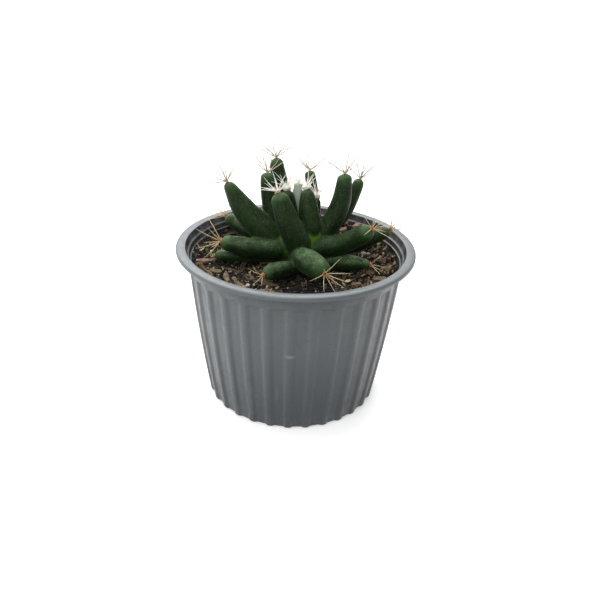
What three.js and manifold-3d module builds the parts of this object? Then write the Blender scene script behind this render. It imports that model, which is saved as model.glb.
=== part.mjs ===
// Potted star cactus: a low cactus of long, finger-like tubercles in a fluted plastic nursery pot.
// Millimetres, Z up. The origin is the middle of the circle that the pot's foot stands on, and the
// plant is seen from -Y, with +X to the right.
import * as THREE from 'three';
import { mergeVertices } from 'three/addons/utils/BufferGeometryUtils.js';
import Module from 'manifold-3d';

const wasm = await Module();
wasm.setup();

// Clearance between pieces that touch
const GAP = 0.3;

// Pot: one thin moulded shell, widest at its flat rim
const RIM_RADIUS = 55;
const POT_HEIGHT = 75;
const MOUTH_RADIUS = 50.6;
const MOUTH_FOOT = 50;
const SHELL = 0.9;
const LIP_DROP = 2;
const LIP_ROUND = 0.5;
const LEDGE_DEPTH = 3.5;
const SHOULDER_DEPTH = 5.9;
const SHOULDER_WIDTH = 0.8;
const FOOT_RADIUS = 41;
const NECK_RADIUS = 50.2;
const WALL_BULGE = 0.8;
const FOOT_ROUND = 1;
const FOOT_RING = 2.3;
const FLOOR_RISE = 2.5;
const FLOOR_CORNER = 2;
const FLUTES = 30;
const FLUTE_DEPTH = 1;
const FLUTE_TOP = 66.8;
const FLUTE_FADE = 2.3;
const FLUTE_HEADING = THREE.MathUtils.degToRad(5.2);
const SLICES_PER_FLUTE = 4;
const DRAINS = 6;
const DRAIN_RADIUS = 3.5;
const DRAIN_CIRCLE = 25;
const WALL_MIDDLE = POT_HEIGHT * 0.45;

// Potting mix: fills the pot to 10 mm below the rim, rises a little towards the wall, and stands
// higher still in two banks against it
const SOIL_LEVEL = 65;
const SOIL_SLICES = 32;
const SOIL_STEP = 4.4;
const EDGE_RISE = 2;
const BANKS = [
  { heading: 52, rise: 4.2 },
  { heading: 182, rise: 3.6 },
];
const DIP_DEPTH = 1.2;
const DIP_RADIUS = 36;
const RECESS_HEADROOM = 6;

// Plant: stem, root and tubercles, all one grown body
const STEM_AXIS = new THREE.Vector2(2, 1);
const STEM_SLICES = 20;
const FINGER_SIDES = 10;
const BODY_RINGS = [0, 0.2, 0.45, 0.72, 1];
const DOME_RINGS = [0.6, 0.88];

// Areoles: a pad of felt at each tubercle's tip and its spines, worn short or nearly off on low ones,
// white on younger ones and set in thick wool on the youngest.
// The rise of a spine is its angle above the pad's plane, in degrees.
const AREOLES = {
  old: { radius: 1.3, height: 1, spines: 7, shortest: 11, longest: 14.5 },
  worn: { radius: 1.2, height: 0.9, spines: 4, shortest: 6, longest: 9.5 },
  bare: { radius: 0.9, height: 0.7, spines: 2, shortest: 2.5, longest: 4 },
  white: { radius: 1.4, height: 1.2, spines: 10, shortest: 9, longest: 12 },
  woolly: { radius: 2, height: 1.7, spines: 9, shortest: 8.5, longest: 12 },
};
const PAD_SIDES = 6;
const SPINE_RADIUS = 0.28;
const SPINE_UNEVENNESS = 0.4;
const OUTER_RISE = [14, 54];
const CENTRAL_RISE = [60, 85];
const STEEPEST_EXTRA_RISE = 40;
const MOST_SHORTENING = 0.4;
const SPINE_CLEARANCE = 0.45;
const SPINE_ABOVE_MIX = 2.2;
const SPINE_TRIES = 80;

const material = (color, roughness) => new THREE.MeshStandardMaterial({ color, roughness, metalness: 0 });
const POT_PLASTIC = material('#6f7579', 0.45);
const POTTING_MIX = material('#2b211b', 0.95);
const CACTUS_SKIN = material('#2c5430', 0.5);
const STRAW_SPINE = material('#cdb98c', 0.6);
const WHITE_SPINE = material('#ece6d8', 0.7);
const BARK = material('#7a5238', 0.85);
const PERLITE = material('#e6e1d6', 0.9);

// Each tubercle's name, root, bow, tip, width and end. The bow is how far the middle of its curve is
// pulled off the straight line, the width its diameter at the widest, and the end its diameter where
// the tip begins.
const FINGERS = [
  ['left_high', [-8, -1, 76.6], [-3, 0, -5], [-31.9, 2, 102.6], 12.4, 4.6],
  ['left_back', [-9, 6, 73.1], [-1, 0, -3], [-34.4, 20, 79.5], 7.2, 6.2],
  ['back_high', [-4, 9, 80.6], [-1, 1.5, -2], [-11, 20, 109.3], 8.6, 6],
  ['back_left', [-7.7, 3, 78.6], [-3, 1, -1], [-14.2, 8, 105.5], 8.2, 6.4],
  ['front_high', [3, -8, 73.6], [-1, -2, 0], [-8.7, -8, 101.8], 11.6, 6.8],
  ['centre', [6, -3, 80.6], [0.4, -1, 0], [3.7, 1, 101.2], 10.4, 4.4],
  ['centre_back', [-1, 6, 84.6], [0, 0.5, 0], [0, 12, 100.8], 4.6, 3.8],
  ['back', [9, 8, 80.6], [0.5, 1.5, -1.5], [4.8, 20, 103.7], 6, 5],
  ['centre_right', [7, 2, 80.6], [0.5, 0.5, 0], [8.2, 8, 94.8], 5.5, 4.5],
  ['right_high', [8, -1, 77.6], [7.4, 1, -4.5], [20.5, 4, 107.9], 9.4, 6.2],
  ['right_back', [11, 4, 76.6], [3.6, 1.5, -3], [28.3, 14, 102.6], 7.5, 4.8],
  ['right', [7, -6, 75.6], [1.5, 5, -7], [32.6, -15, 89.6], 9.6, 7],
  ['right_low_back', [11, 1, 72], [2, 0, -3], [43.5, 8, 80.7], 8.4, 4.4],
  ['left', [-5, -6, 75.1], [-2, 0, -2.8], [-33.6, -8, 78], 9, 6.2],
  ['left_low', [-8, -4, 69.5], [0, 0, 0.5], [-37.2, -5, 69.3], 6.5, 4.6],
  ['front_left', [3, -13, 68.4], [-1.5, -1, 2.2], [-13.2, -28.5, 71.8], 8, 5],
  ['front', [-1, -8, 71.6], [1.4, -2, 3], [12.5, -31.5, 75.1], 11.2, 8],
  ['right_low', [10, -6, 69], [1, 0, 0.5], [33.6, -12, 71.2], 8, 3],
  ['centre_left', [-2, 1, 82.6], [-0.5, 0.5, 0], [-5, 5, 99.1], 7, 5],
  ['behind_tall', [0, 10, 76.6], [0, 2, -2], [-3, 34, 86.6], 9, 6],
  ['behind_right', [5, 9, 73.6], [0, 2, -1], [8, 33, 76.1], 8.5, 5.6],
  ['behind_left', [-5, 8, 73.6], [0, 2, -1], [-11, 28, 74.6], 8.5, 5.6],
  ['behind_low', [7, 7, 72], [1, 1, -1], [13, 22, 74], 8.5, 5.6],
].map(([name, root, bow, tip, width, end]) => ({ name, root, bow, tip, width, end }));

// A tubercle is widest at belly, a share of its length. Its tip is rounded over dome times the
// end's radius, and its root is neck times its width. Its areole is one of the kinds above.
// Where a ring of spines shows well, roll turns it, in degrees; elsewhere it is drawn.
const USUAL = { belly: 0.4, dome: 0.9, neck: 0.8, areole: 'old' };
const TRAITS = {
  left_high: { belly: 0.25 },
  left_back: { belly: 0.6 },
  back_left: { dome: 0.5 },
  front_high: { belly: 0.25, areole: 'white' },
  centre: { belly: 0.2, areole: 'woolly' },
  centre_back: { areole: 'bare' },
  back: { dome: 0.5 },
  centre_right: { areole: 'woolly' },
  right_high: { dome: 0.6 },
  right: { roll: 26 },
  right_low_back: { roll: 29 },
  left: { roll: 20 },
  left_low: { areole: 'bare' },
  front_left: { belly: 0.6, dome: 1.2, neck: 0.5, areole: 'worn', roll: 20 },
  front: { neck: 0.5, roll: 47 },
  right_low: { areole: 'worn' },
  centre_left: { dome: 1.2, areole: 'woolly' },
  behind_low: { areole: 'worn' },
};

// Loose bits bedded in the mix: the largest bark chips, and crumbs of white perlite
const CHIPS = [
  { name: 'bark_left', at: [-40.5, -8], length: 15.5, width: 2.8, thickness: 1.4, turn: 42, tilt: 8 },
  { name: 'bark_front_left', at: [-29.8, -22], length: 12, width: 3, thickness: 1.6, turn: -72, tilt: 14 },
  { name: 'bark_shred', at: [-28.5, -11.5], length: 11, width: 1.5, thickness: 1.2, turn: -31, tilt: 5 },
  { name: 'bark_left_small', at: [-20, -17], length: 5, width: 2.8, thickness: 1.4, turn: -33, tilt: 5 },
  { name: 'bark_front', at: [-13, -37], length: 7, width: 4.8, thickness: 1.8, turn: 34, tilt: 12 },
  { name: 'bark_thin', at: [-3.5, -40.5], length: 5.5, width: 2.2, thickness: 1.3, turn: -21, tilt: -4 },
  { name: 'bark_right', at: [42, -5.5], length: 7.5, width: 2.4, thickness: 1.3, turn: 20, tilt: 8 },
  { name: 'bark_front_right', at: [38, -16.5], length: 8, width: 3.2, thickness: 1.5, turn: 35, tilt: 10 },
  { name: 'bark_back_right', at: [23, 35], length: 7.5, width: 4.4, thickness: 2.2, turn: -40, tilt: 12 },
  { name: 'bark_heap', at: [30, 34.5], length: 6.5, width: 4, thickness: 2.2, turn: 20, tilt: -14 },
];
const CHIP_CORNERS = 9;
const SCATTERED_CHIPS = 5;
const SCATTERED_REACH = [35, 42];
const CHIP_SPACING = 9;
const CRUMBS = [
  { name: 'perlite_front', at: [-20, -27], radius: 1.1 },
  { name: 'perlite_right', at: [32.5, 12], radius: 1.3 },
  { name: 'perlite_back', at: [16.5, 38.5], radius: 1.2 },
];

const fingers = FINGERS.map((finger) => ({ ...USUAL, ...finger, ...TRAITS[finger.name] }));
const vector = (values) => new THREE.Vector3(...values);
const radians = THREE.MathUtils.degToRad;

// Repeatable random numbers from 0 to 1
function seededRandom(seed) {
  let state = seed;
  return () => {
    state = (Math.imul(state, 1664525) + 1013904223) >>> 0;
    return state / 2 ** 32;
  };
}

const between = ([low, high], random) => low + (high - low) * random();

// A solid for joining and cutting, from any closed geometry
function solidFrom(geometry) {
  const bare = new THREE.BufferGeometry();
  bare.setAttribute('position', geometry.attributes.position);
  bare.setIndex(geometry.index);
  const merged = mergeVertices(bare);
  const corners = merged.index.array;
  const triVerts = [];
  for (let i = 0; i < corners.length; i += 3) {
    const [a, b, c] = corners.slice(i, i + 3);
    if (a !== b && b !== c && c !== a) triVerts.push(a, b, c);
  }
  return new wasm.Manifold(new wasm.Mesh({
    numProp: 3,
    vertProperties: new Float32Array(merged.attributes.position.array),
    triVerts: new Uint32Array(triVerts),
  }));
}

function geometryFrom(solid) {
  const mesh = solid.getMesh();
  const geometry = new THREE.BufferGeometry();
  geometry.setAttribute('position', new THREE.BufferAttribute(mesh.vertProperties, 3));
  geometry.setIndex(new THREE.BufferAttribute(mesh.triVerts, 1));
  return geometry;
}

// An outline of [radius, height] points turned about the Z axis
function turned(outline, slices) {
  const points = outline.map(([radius, height]) => new THREE.Vector2(radius, height));
  return new THREE.LatheGeometry(points, slices).rotateX(Math.PI / 2);
}

// The same geometry with each of its points moved by a rule
function shaped(geometry, move) {
  const places = geometry.attributes.position;
  const point = new THREE.Vector3();
  for (let i = 0; i < places.count; i += 1) {
    move(point.fromBufferAttribute(places, i), i);
    places.setXYZ(i, point.x, point.y, point.z);
  }
  return geometry;
}

// Outer radius of the pot's wall at the crest of its flutes
function crestRadius(height) {
  const share = height / POT_HEIGHT;
  return THREE.MathUtils.lerp(FOOT_RADIUS, NECK_RADIUS, share) + 4 * WALL_BULGE * share * (1 - share);
}

const insideCrest = (height) => crestRadius(height) - SHELL;
const insideValley = (height) => insideCrest(height) - FLUTE_DEPTH;

// The shell's outline from the floor's underside, up the outside, over the rim and down inside.
// The third value is how deep the flutes are there, as a share of their full depth.
function potOutline() {
  const ledge = POT_HEIGHT - LEDGE_DEPTH;
  const shoulder = POT_HEIGHT - SHOULDER_DEPTH;
  const flange = POT_HEIGHT - SHELL;
  const fluteStart = FLUTE_TOP - FLUTE_FADE;
  const floorTop = FLOOR_RISE + SHELL;
  return [
    [0, FLOOR_RISE, 0],
    [FOOT_RADIUS - FOOT_ROUND - FOOT_RING - 0.9, FLOOR_RISE, 0],
    [FOOT_RADIUS - FOOT_ROUND - FOOT_RING, 0, 0],
    [FOOT_RADIUS - FOOT_ROUND, 0, 1],
    [crestRadius(FOOT_ROUND), FOOT_ROUND, 1],
    [crestRadius(WALL_MIDDLE), WALL_MIDDLE, 1],
    [crestRadius(fluteStart), fluteStart, 1],
    [crestRadius(FLUTE_TOP), FLUTE_TOP, 0],
    [crestRadius(ledge), ledge - SHELL, 0],
    [MOUTH_FOOT + SHELL, ledge - 0.3, 0],
    [MOUTH_RADIUS + SHELL, flange, 0],
    [RIM_RADIUS - 1, flange, 0],
    [RIM_RADIUS - 0.9, POT_HEIGHT - LIP_DROP, 0],
    [RIM_RADIUS - 0.2, POT_HEIGHT - LIP_DROP, 0],
    [RIM_RADIUS, POT_HEIGHT - LIP_ROUND * 1.6, 0],
    [RIM_RADIUS - LIP_ROUND * 1.6, POT_HEIGHT, 0],
    [MOUTH_RADIUS + LIP_ROUND, POT_HEIGHT, 0],
    [MOUTH_RADIUS, POT_HEIGHT - LIP_ROUND, 0],
    [MOUTH_FOOT, ledge + 0.5, 0],
    [insideCrest(ledge) + 0.1, ledge, 0],
    [insideCrest(shoulder), shoulder + 0.2, 0],
    [insideCrest(shoulder) - SHOULDER_WIDTH, shoulder, 0],
    [insideCrest(FLUTE_TOP + 1), FLUTE_TOP + 1, 0],
    [insideCrest(fluteStart + 1), fluteStart + 1, 1],
    [insideCrest(WALL_MIDDLE), WALL_MIDDLE, 1],
    [insideCrest(floorTop + FLOOR_CORNER), floorTop + FLOOR_CORNER, 1],
    [insideCrest(floorTop) - FLOOR_CORNER, floorTop, 1],
    [0, floorTop, 0],
  ];
}

function potGeometry() {
  const outline = potOutline();
  const shell = shaped(turned(outline, FLUTES * SLICES_PER_FLUTE), (point, i) => {
    const share = outline[i % outline.length][2];
    const wave = (1 - Math.cos(FLUTES * Math.atan2(point.y, point.x))) / 2;
    const radius = Math.hypot(point.x, point.y);
    const scale = radius > 0 ? 1 - (share * wave * FLUTE_DEPTH) / radius : 1;
    point.set(point.x * scale, point.y * scale, point.z);
  });
  let pot = solidFrom(shell.rotateZ(FLUTE_HEADING));
  const drill = new THREE.CylinderGeometry(DRAIN_RADIUS, DRAIN_RADIUS, 4 * SHELL, 12);
  drill.rotateX(Math.PI / 2).translate(DRAIN_CIRCLE, 0, FLOOR_RISE + SHELL / 2);
  for (let i = 0; i < DRAINS; i += 1) {
    pot = pot.subtract(solidFrom(drill.clone().rotateZ((i * 2 * Math.PI) / DRAINS)));
  }
  return geometryFrom(pot);
}

// Height of the mix at a place: low crumbled humps, a dip round the stem, and banks at the wall
function soilHeight(x, y) {
  const humps = 0.45 * Math.sin(0.55 * x + 0.3 * y + 0.4)
    + 0.4 * Math.sin(-0.36 * x + 0.62 * y + 2)
    + 0.35 * Math.sin(0.95 * x - 0.5 * y + 1.1);
  const reach = Math.min(Math.hypot(x, y) / insideValley(SOIL_LEVEL), 1);
  const rises = BANKS.map(({ heading, rise }) => (
    rise * Math.max(Math.cos(Math.atan2(y, x) - radians(heading)), 0) ** 8
  ));
  const slope = (EDGE_RISE + rises[0] + rises[1]) * reach ** 4;
  const dip = Math.max(1 - Math.hypot(x - STEM_AXIS.x, y - STEM_AXIS.y) / DIP_RADIUS, 0);
  return SOIL_LEVEL + humps + slope - DIP_DEPTH * dip;
}

// Inner radius of the wall at the deepest of its flutes, which end just below the shoulder
function insideWall(height) {
  const fluted = THREE.MathUtils.clamp((FLUTE_TOP + 1 - height) / FLUTE_FADE, 0, 1);
  return insideCrest(height) - FLUTE_DEPTH * fluted;
}

function soilBody() {
  const bottom = FLOOR_RISE + SHELL + GAP;
  const edge = insideValley(SOIL_LEVEL) - GAP;
  const skirt = SOIL_LEVEL + 0.2;
  const top = SOIL_LEVEL + 2;
  const outline = [
    [0, bottom],
    [insideValley(bottom) - GAP - FLOOR_CORNER, bottom],
    [insideValley(bottom + 2.2) - GAP, bottom + 2.2],
    [insideValley(WALL_MIDDLE) - GAP, WALL_MIDDLE],
    [edge - 0.1, skirt],
  ];
  const rings = Math.ceil(edge / SOIL_STEP);
  for (let i = rings; i >= 0; i -= 1) outline.push([(edge * i) / rings, top]);
  return solidFrom(shaped(turned(outline, SOIL_SLICES), (point) => {
    if (point.z < top - 0.1) return;
    const height = soilHeight(point.x, point.y);
    const stretch = (insideWall(height) - SHOULDER_WIDTH) / edge;
    point.set(point.x * stretch, point.y * stretch, height);
  }));
}

// The stem and its root, grown by a margin where they are used to open the hole they stand in
function stemSolid(margin) {
  const outline = [
    [0, 40 - margin],
    [2.2 + margin, 42 - margin],
    [4.5 + margin, 52],
    [8 + margin, 60],
    [10.4 + margin, 65],
    [12 + margin, 69.5],
    [12.6 + margin, 74],
    [11.4 + margin, 79],
    [8.4 + margin, 84],
    [4 + margin, 87],
    [0, 88 + margin],
  ];
  return solidFrom(turned(outline, STEM_SLICES).translate(STEM_AXIS.x, STEM_AXIS.y, 0));
}

function fingerCurve({ root, bow, tip }) {
  const knee = vector(root).lerp(vector(tip), 0.5).add(vector(bow));
  return new THREE.QuadraticBezierCurve3(vector(root), knee, vector(tip));
}

// Where the rounding of the tip begins, as a share of the length
function domeStart({ root, tip, end, dome }) {
  return 1 - (dome * end) / 2 / vector(root).distanceTo(vector(tip));
}

// Radius at a place along a tubercle, from 0 at its root to 1 at its tip
function fingerRadius(finger, place) {
  const { width, end, belly, neck } = finger;
  const start = domeStart(finger);
  const rising = Math.min(place / belly, 1);
  const falling = Math.max((place - belly) / (1 - belly), 0);
  const rounding = Math.max((place - start) / (1 - start), 0);
  const swell = neck + (1 - neck) * rising * (2 - rising);
  const taper = 1 - (1 - end / width) * falling ** 2;
  return (width / 2) * swell * taper * Math.sqrt(Math.max(1 - rounding ** 2, 0));
}

// A tubercle: an outline turned about a straight line, then laid along the tubercle's curve
function fingerSolid(finger) {
  const curve = fingerCurve(finger);
  const heading = vector(finger.tip).sub(vector(finger.root));
  const level = new THREE.Vector3(-heading.y, heading.x, 0).normalize();
  const start = domeStart(finger);
  const places = BODY_RINGS.map((share) => share * start);
  places.push(...DOME_RINGS.map((share) => start + share * (1 - start)));
  const points = places.map((place) => new THREE.Vector2(fingerRadius(finger, place), place));
  points.unshift(new THREE.Vector2(0, 0));
  points.push(new THREE.Vector2(AREOLES[finger.areole].radius * 0.9, 1), new THREE.Vector2(0, 1));
  return solidFrom(shaped(new THREE.LatheGeometry(points, FINGER_SIDES), (point) => {
    const { x: across, y: place, z: away } = point;
    const along = curve.getTangentAt(place);
    const upward = new THREE.Vector3().crossVectors(level, along).normalize();
    const sideways = new THREE.Vector3().crossVectors(along, upward);
    point.copy(curve.getPointAt(place)).addScaledVector(sideways, across).addScaledVector(upward, away);
  }));
}

function cactusGeometry() {
  return geometryFrom(fingers.reduce((body, finger) => body.add(fingerSolid(finger)), stemSolid(0)));
}

// Balls that fill each tubercle and its pad, so that spines can be kept clear of them
function fingerBalls(finger) {
  const curve = fingerCurve(finger);
  const balls = [];
  for (let place = 0; place <= 1; place += 0.05) {
    balls.push({ centre: curve.getPointAt(place), radius: fingerRadius(finger, place) });
  }
  balls.push({ centre: curve.getPointAt(1), radius: AREOLES[finger.areole].radius + GAP });
  return balls;
}

// Whether a spine from root to tip is clear of the pot, the mix, the other tubercles and spines
function isClear(root, tip, balls, spines) {
  const length = root.distanceTo(tip);
  for (let step = 2; step <= length; step += 0.5) {
    const point = root.clone().lerp(tip, step / length);
    const reach = Math.hypot(point.x, point.y);
    if (reach > RIM_RADIUS - 1) return false;
    if (point.z < POT_HEIGHT + 1 && reach > insideValley(SOIL_LEVEL) - 1) return false;
    if (point.z < soilHeight(point.x, point.y) + SPINE_ABOVE_MIX) return false;
    if (balls.some(({ centre, radius }) => centre.distanceTo(point) < radius + SPINE_CLEARANCE)) return false;
    for (const spine of spines) {
      const nearest = spine.closestPointToPoint(point, true, new THREE.Vector3());
      if (nearest.distanceTo(point) < SPINE_CLEARANCE + 2 * SPINE_RADIUS) return false;
    }
  }
  return true;
}

// One spine: a slim three-sided cone whose root is sunk in the pad
function spineSolid(root, tip) {
  const length = root.distanceTo(tip);
  const cone = new THREE.ConeGeometry(SPINE_RADIUS, length, 3).translate(0, length / 2, 0);
  const upright = new THREE.Vector3(0, 1, 0);
  const turn = new THREE.Quaternion().setFromUnitVectors(upright, tip.clone().sub(root).normalize());
  return solidFrom(cone.applyQuaternion(turn).translate(root.x, root.y, root.z));
}

// The pad of felt that sits on a tubercle's tip
function padSolid({ radius, height }, seat, turn) {
  const outline = [
    [0, 0],
    [radius * 0.85, 0],
    [radius, height * 0.4],
    [radius * 0.6, height * 0.9],
    [0, height],
  ];
  return solidFrom(turned(outline, PAD_SIDES).applyQuaternion(turn).translate(seat.x, seat.y, seat.z));
}

// Where the ith spine of a pad points, as drawn: the outer ones in a ring, the last one central
function spineAim(areole, i, roll, steeper, random) {
  const uneven = SPINE_UNEVENNESS * (random() - 0.5);
  const heading = roll + ((i + uneven) * 2 * Math.PI) / areole.spines;
  const central = i === areole.spines;
  const rise = radians(between(central ? CENTRAL_RISE : OUTER_RISE, random) + STEEPEST_EXTRA_RISE * steeper);
  const spread = Math.cos(rise);
  return new THREE.Vector3(Math.cos(heading) * spread, Math.sin(heading) * spread, Math.sin(rise));
}

// A pad with spines spread evenly round it and one standing in the middle. A spine that would
// touch something is drawn again, steeper and a little shorter each time.
function areoleGeometry(finger, balls, spines, random) {
  const curve = fingerCurve(finger);
  const facing = curve.getTangentAt(1);
  const turn = new THREE.Quaternion().setFromUnitVectors(new THREE.Vector3(0, 0, 1), facing);
  const seat = curve.getPointAt(1).addScaledVector(facing, GAP);
  const areole = AREOLES[finger.areole];
  const root = seat.clone().addScaledVector(facing, areole.height * 0.45);
  const roll = radians(finger.roll ?? 360 * random());
  const earlier = spines.slice();
  let body = padSolid(areole, seat, turn);
  for (let i = 0; i <= areole.spines; i += 1) {
    for (let attempt = 0; attempt < SPINE_TRIES; attempt += 1) {
      const steeper = attempt / SPINE_TRIES;
      const aim = spineAim(areole, i, roll, steeper, random).applyQuaternion(turn);
      const length = between([areole.shortest, areole.longest], random) * (1 - MOST_SHORTENING * steeper);
      const tip = root.clone().addScaledVector(aim, length);
      if (isClear(root, tip, balls, earlier)) {
        body = body.add(spineSolid(root, tip));
        spines.push(new THREE.Line3(root, tip));
        break;
      }
    }
  }
  return geometryFrom(body);
}

// More chips, one in each equal sector of the ring outside the tubercles, drawn again where crowded
function scatteredChips() {
  const random = seededRandom(21);
  const chips = [...CHIPS];
  for (let i = 0; i < SCATTERED_CHIPS; i += 1) {
    let at;
    do {
      const heading = ((i + random()) * 2 * Math.PI) / SCATTERED_CHIPS;
      const reach = between(SCATTERED_REACH, random);
      at = [reach * Math.cos(heading), reach * Math.sin(heading)];
    } while (chips.some((chip) => Math.hypot(chip.at[0] - at[0], chip.at[1] - at[1]) < CHIP_SPACING));
    const length = between([4, 7], random);
    const width = length * between([0.35, 0.6], random);
    const turn = between([0, 180], random);
    const tilt = between([-8, 8], random);
    chips.push({ name: `bark_scattered_${i + 1}`, at, length, width, thickness: 1.3, turn, tilt });
  }
  return chips;
}

// How steeply the mix climbs along a chip
function climbOf({ at: [x, y], length, turn }) {
  const reach = length / 3;
  const across = reach * Math.cos(radians(turn));
  const away = reach * Math.sin(radians(turn));
  return Math.atan2(soilHeight(x + across, y + away) - soilHeight(x - across, y - away), 2 * reach);
}

// A bark chip: an uneven flat outline, tilted and turned, bedded a little way into the mix.
// With a margin and a headroom it is the recess that the chip lies in.
function chipSolid(chip, seed, margin, headroom) {
  const random = seededRandom(seed);
  const outline = new THREE.Shape(Array.from({ length: CHIP_CORNERS }, (_, i) => {
    const angle = (i * 2 * Math.PI) / CHIP_CORNERS;
    const uneven = between([0.7, 1.15], random);
    return new THREE.Vector2(
      Math.cos(angle) * ((chip.length / 2) * uneven + margin),
      Math.sin(angle) * ((chip.width / 2) * uneven + margin),
    );
  }));
  const depth = chip.thickness + margin + headroom;
  const plate = new THREE.ExtrudeGeometry(outline, { depth, bevelEnabled: false, steps: 1 });
  plate.translate(0, 0, -margin - chip.thickness / 2);
  plate.rotateX(radians(chip.tilt));
  plate.rotateY(-climbOf(chip));
  plate.rotateZ(radians(chip.turn));
  const [x, y] = chip.at;
  return solidFrom(plate.translate(x, y, soilHeight(x, y) + chip.thickness * 0.15));
}

// A crumb of perlite: an uneven ball bedded by about a third
function crumbSolid(crumb, seed, margin) {
  const random = seededRandom(seed);
  const ball = solidFrom(new THREE.IcosahedronGeometry(crumb.radius + margin, 0));
  const [x, y] = crumb.at;
  const squash = between([0.75, 0.95], random);
  return ball.scale([1, squash, 0.8]).translate([x, y, soilHeight(x, y) + crumb.radius * 0.2]);
}

const plant = new THREE.Group();

function addPiece(name, geometry, finish) {
  const mesh = new THREE.Mesh(geometry, finish);
  mesh.name = name;
  plant.add(mesh);
}

addPiece('pot', potGeometry(), POT_PLASTIC);

let mix = soilBody().subtract(stemSolid(GAP));
scatteredChips().forEach((chip, i) => {
  mix = mix.subtract(chipSolid(chip, i + 1, GAP, RECESS_HEADROOM));
  addPiece(chip.name, geometryFrom(chipSolid(chip, i + 1, 0, 0)), BARK);
});
CRUMBS.forEach((crumb, i) => {
  mix = mix.subtract(crumbSolid(crumb, i + 1, GAP));
  addPiece(crumb.name, geometryFrom(crumbSolid(crumb, i + 1, 0)), PERLITE);
});
addPiece('potting_mix', geometryFrom(mix), POTTING_MIX);
addPiece('cactus_body', cactusGeometry(), CACTUS_SKIN);

const random = seededRandom(7);
const spines = [];
fingers.forEach((finger) => {
  const balls = fingers.filter((other) => other !== finger).flatMap(fingerBalls);
  const finish = ['white', 'woolly'].includes(finger.areole) ? WHITE_SPINE : STRAW_SPINE;
  addPiece(`areole_${finger.name}`, areoleGeometry(finger, balls, spines, random), finish);
});

export default plant;
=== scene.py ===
"""Potted star cactus: its looks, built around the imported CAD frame.

Everything is in metres, in the frame of the CAD. The sizes below are millimetres times MM.
"""

import math
import random

import bmesh
import bpy
import numpy as np
from mathutils import Euler, Matrix, Vector, noise
from mathutils.bvhtree import BVHTree


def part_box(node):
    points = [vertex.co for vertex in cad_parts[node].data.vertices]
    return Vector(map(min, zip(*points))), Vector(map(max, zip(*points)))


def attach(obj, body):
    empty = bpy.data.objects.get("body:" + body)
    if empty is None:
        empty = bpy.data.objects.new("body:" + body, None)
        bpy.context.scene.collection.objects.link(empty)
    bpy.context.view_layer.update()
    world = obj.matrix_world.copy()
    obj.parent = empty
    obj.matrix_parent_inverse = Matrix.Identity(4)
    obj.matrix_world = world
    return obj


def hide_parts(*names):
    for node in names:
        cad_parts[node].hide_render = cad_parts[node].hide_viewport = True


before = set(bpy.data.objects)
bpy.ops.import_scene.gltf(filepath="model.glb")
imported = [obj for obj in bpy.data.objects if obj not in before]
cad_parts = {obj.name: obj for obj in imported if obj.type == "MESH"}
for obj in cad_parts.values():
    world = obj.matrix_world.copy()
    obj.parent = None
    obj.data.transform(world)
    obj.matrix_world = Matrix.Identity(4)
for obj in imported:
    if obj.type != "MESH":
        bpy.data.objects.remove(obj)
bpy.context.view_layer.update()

MM = 0.001

# Blender's noise vectors change from run to run unless they are seeded
noise.seed_set(7)

# Camera: where it stands, how far it looks down and leans, and its lens
CAMERA_PLACE = Vector((2.8, -291.3, 197.8)) * MM
CAMERA_DOWN = math.radians(27.59)
CAMERA_LEAN = math.radians(2.37)
LENS = 40.9
SENSOR = 36.0

# Light: the strength of the white surround, of the key light and of the fill above the camera,
# and for the two lights where they stand, which way they point and how wide they are
SKY = 1.3
KEY = 2.4
KEY_PLACE = (0, 0.5, 0.6)
KEY_AIM = Vector((0.2, -0.75, -1))
KEY_WIDTH = math.radians(60)
FILL = 1.0
FILL_PLACE = (-0.12, -0.35, 0.4)
FILL_AIM = Vector((0.12, 0.35, -0.32))
FILL_WIDTH = 0.3
# How the surround dims along each axis: the two levels between which it does, and its share at each
SKY_FALLS = {"Z": (-0.3, 0.1, 0.35, 1.0), "Y": (-0.9, 0.1, 0.34, 1.0), "X": (-0.6, 0.9, 1.1, 0.55)}
FLOOR_GLOW = 0.28
FLOOR_SIZE = 60

# Pot: one thin moulded shell, widest at its flat rim
RIM_RADIUS = 55.0
POT_HEIGHT = 75.0
MOUTH_RADIUS = 50.6
MOUTH_FOOT = 50.0
SHELL = 0.9
LIP_DROP = 2.0
LEDGE_DEPTH = 3.5
SHOULDER_DEPTH = 5.9
SHOULDER_WIDTH = 0.8
FOOT_RADIUS = 41.0
NECK_RADIUS = 50.2
WALL_BULGE = 0.8
FOOT_ROUND = 1.0
FOOT_RING = 2.3
FLOOR_RISE = 2.5
FLOOR_CORNER = 2.0
FLUTES = 30
FLUTE_DEPTH = 1.0
FLUTE_TOP = 67.2
FLUTE_FADE = 2.4
FLUTE_HEADING = math.radians(5.2)
FLUTE_COLUMNS = 24
FLUTE_SHARPNESS = 2.2
RIB_SHARE = 0.4
# How dark the painted shade is on the wall inside, above the ledge and on the two steps
MOST_INNER_SHADE = 0.9
MOUTH_INNER_SHADE = 0.85
STEP_INNER_SHADE = 0.72
# Painted shade darkens the outer wall from the foot up to this height
FOOT_SHADE_HEIGHT = 56.0
SCUFF_PLACE = (-0.4, -46.6, 42.5)
SCUFF_SIZE = 1.4
DRAINS = 6
DRAIN_RADIUS = 3.5
DRAIN_CIRCLE = 25.0

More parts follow.
